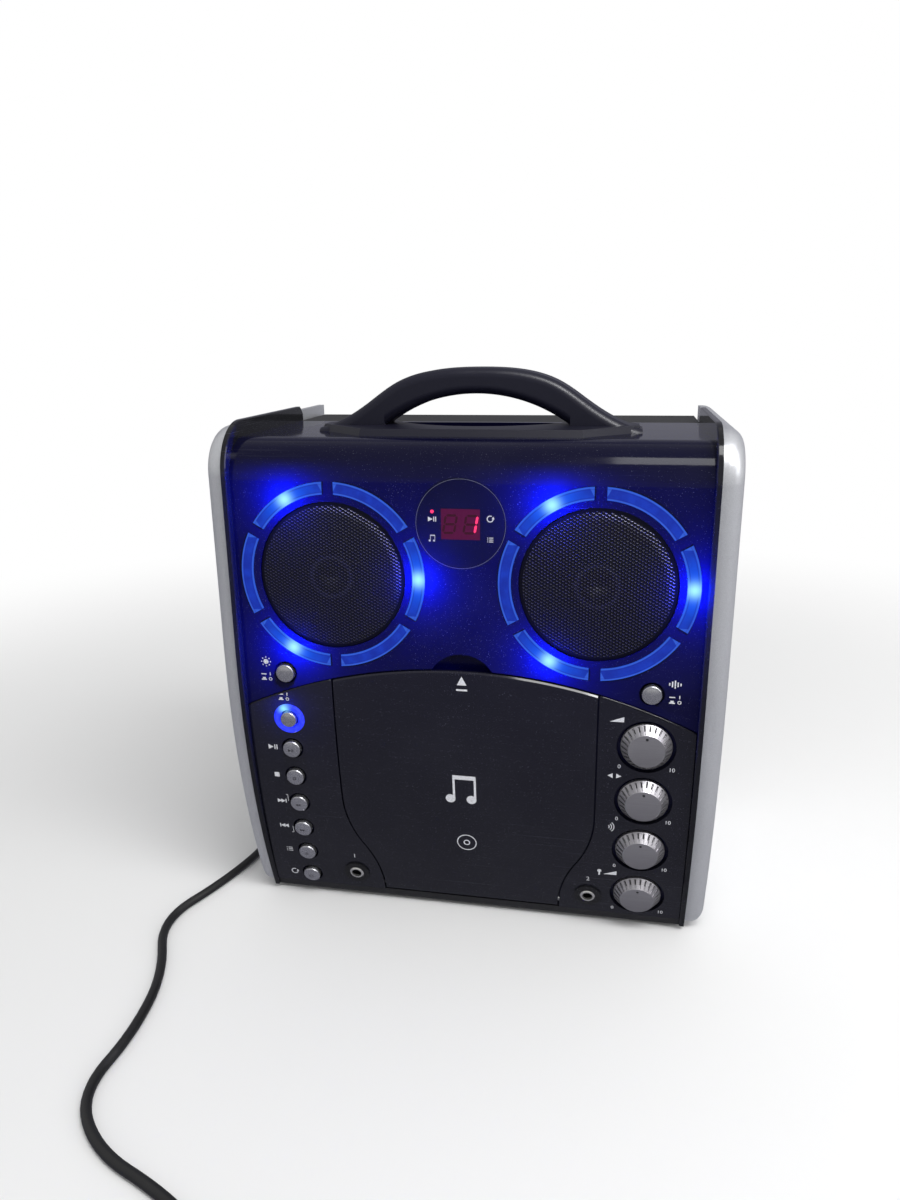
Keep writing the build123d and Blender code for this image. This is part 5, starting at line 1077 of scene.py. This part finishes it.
BEND_START, BEND_RADIUS, BEND_STEPS = 1.6, 0.8, 12
STAGE_FRONT, STAGE_TOP, STAGE_HALF_WIDTH = -3.0, 3.2, 3.5
profile = [(STAGE_FRONT, 0.0), (BEND_START, 0.0)]
for step in range(1, BEND_STEPS + 1):
    angle = math.radians(90 * step / BEND_STEPS)
    y = BEND_START + BEND_RADIUS * math.sin(angle)
    profile.append((y, BEND_RADIUS - BEND_RADIUS * math.cos(angle)))
profile.append((BEND_START + BEND_RADIUS, STAGE_TOP))
stage_points = [(x, y, z) for y, z in profile for x in (-STAGE_HALF_WIDTH, STAGE_HALF_WIDTH)]
stage_faces = [[2 * i, 2 * i + 1, 2 * i + 3, 2 * i + 2] for i in range(len(profile) - 1)]
stage_mesh = bpy.data.meshes.new("floor_and_backdrop")
stage_mesh.from_pydata(stage_points, [], stage_faces)
stage_mesh.materials.append(floor_material)
stage = bpy.data.objects.new("floor_and_backdrop", stage_mesh)
scene.collection.objects.link(stage)

SKY_STRENGTH = 0.55
world = bpy.data.worlds.new("studio")
scene.world = world
world.use_nodes = True
sky = world.node_tree.nodes["Background"]
sky.inputs["Color"].default_value = (1, 1, 1, 1)
sky.inputs["Strength"].default_value = SKY_STRENGTH


def soft_lamp(name, place, aim, size, watts, in_gloss_only=False):
    """A wide rectangular lamp that faces a point. One for gloss alone leaves plain colours be."""
    light = bpy.data.lights.new(name, "AREA")
    light.shape = "RECTANGLE"
    light.size, light.size_y = size
    light.energy = watts
    lamp = bpy.data.objects.new(name, light)
    lamp.location = place
    lamp.rotation_euler = (Vector(aim) - Vector(place)).to_track_quat("-Z", "Y").to_euler()
    lamp.visible_diffuse = not in_gloss_only
    scene.collection.objects.link(lamp)


soft_lamp("top_soft", (0.62, -0.66, 1.5), aim=(0.62, -0.1, 0.1), size=(1.1, 0.5), watts=17)
soft_lamp(
    "edge_soft",
    (0.85, -0.72, 1.55),
    aim=(0.6, -0.1, 0.1),
    size=(0.6, 0.5),
    watts=14,
    in_gloss_only=True,
)
soft_lamp("side_soft", (1.5, -0.5, 0.9), aim=(0, 0, 0.15), size=(0.7, 1.0), watts=6)

LENS, SENSOR = 17.72, 24.0
camera_data = bpy.data.cameras.new("camera")
camera_data.sensor_fit = "VERTICAL"
camera_data.sensor_height = SENSOR
camera_data.lens = LENS
camera = bpy.data.objects.new("camera", camera_data)
right = Vector((0.98227669, 0.18704295, -0.01214225))
up = Vector((-0.04169188, 0.28118838, 0.95874651))
back = Vector((0.18274103, -0.94124812, 0.28400297))
eye = Vector((0.08443, -0.55649, 0.36005))
camera.matrix_world = Matrix((
    (right.x, up.x, back.x, eye.x),
    (right.y, up.y, back.y, eye.y),
    (right.z, up.z, back.z, eye.z),
    (0, 0, 0, 1),
))
scene.collection.objects.link(camera)
scene.camera = camera
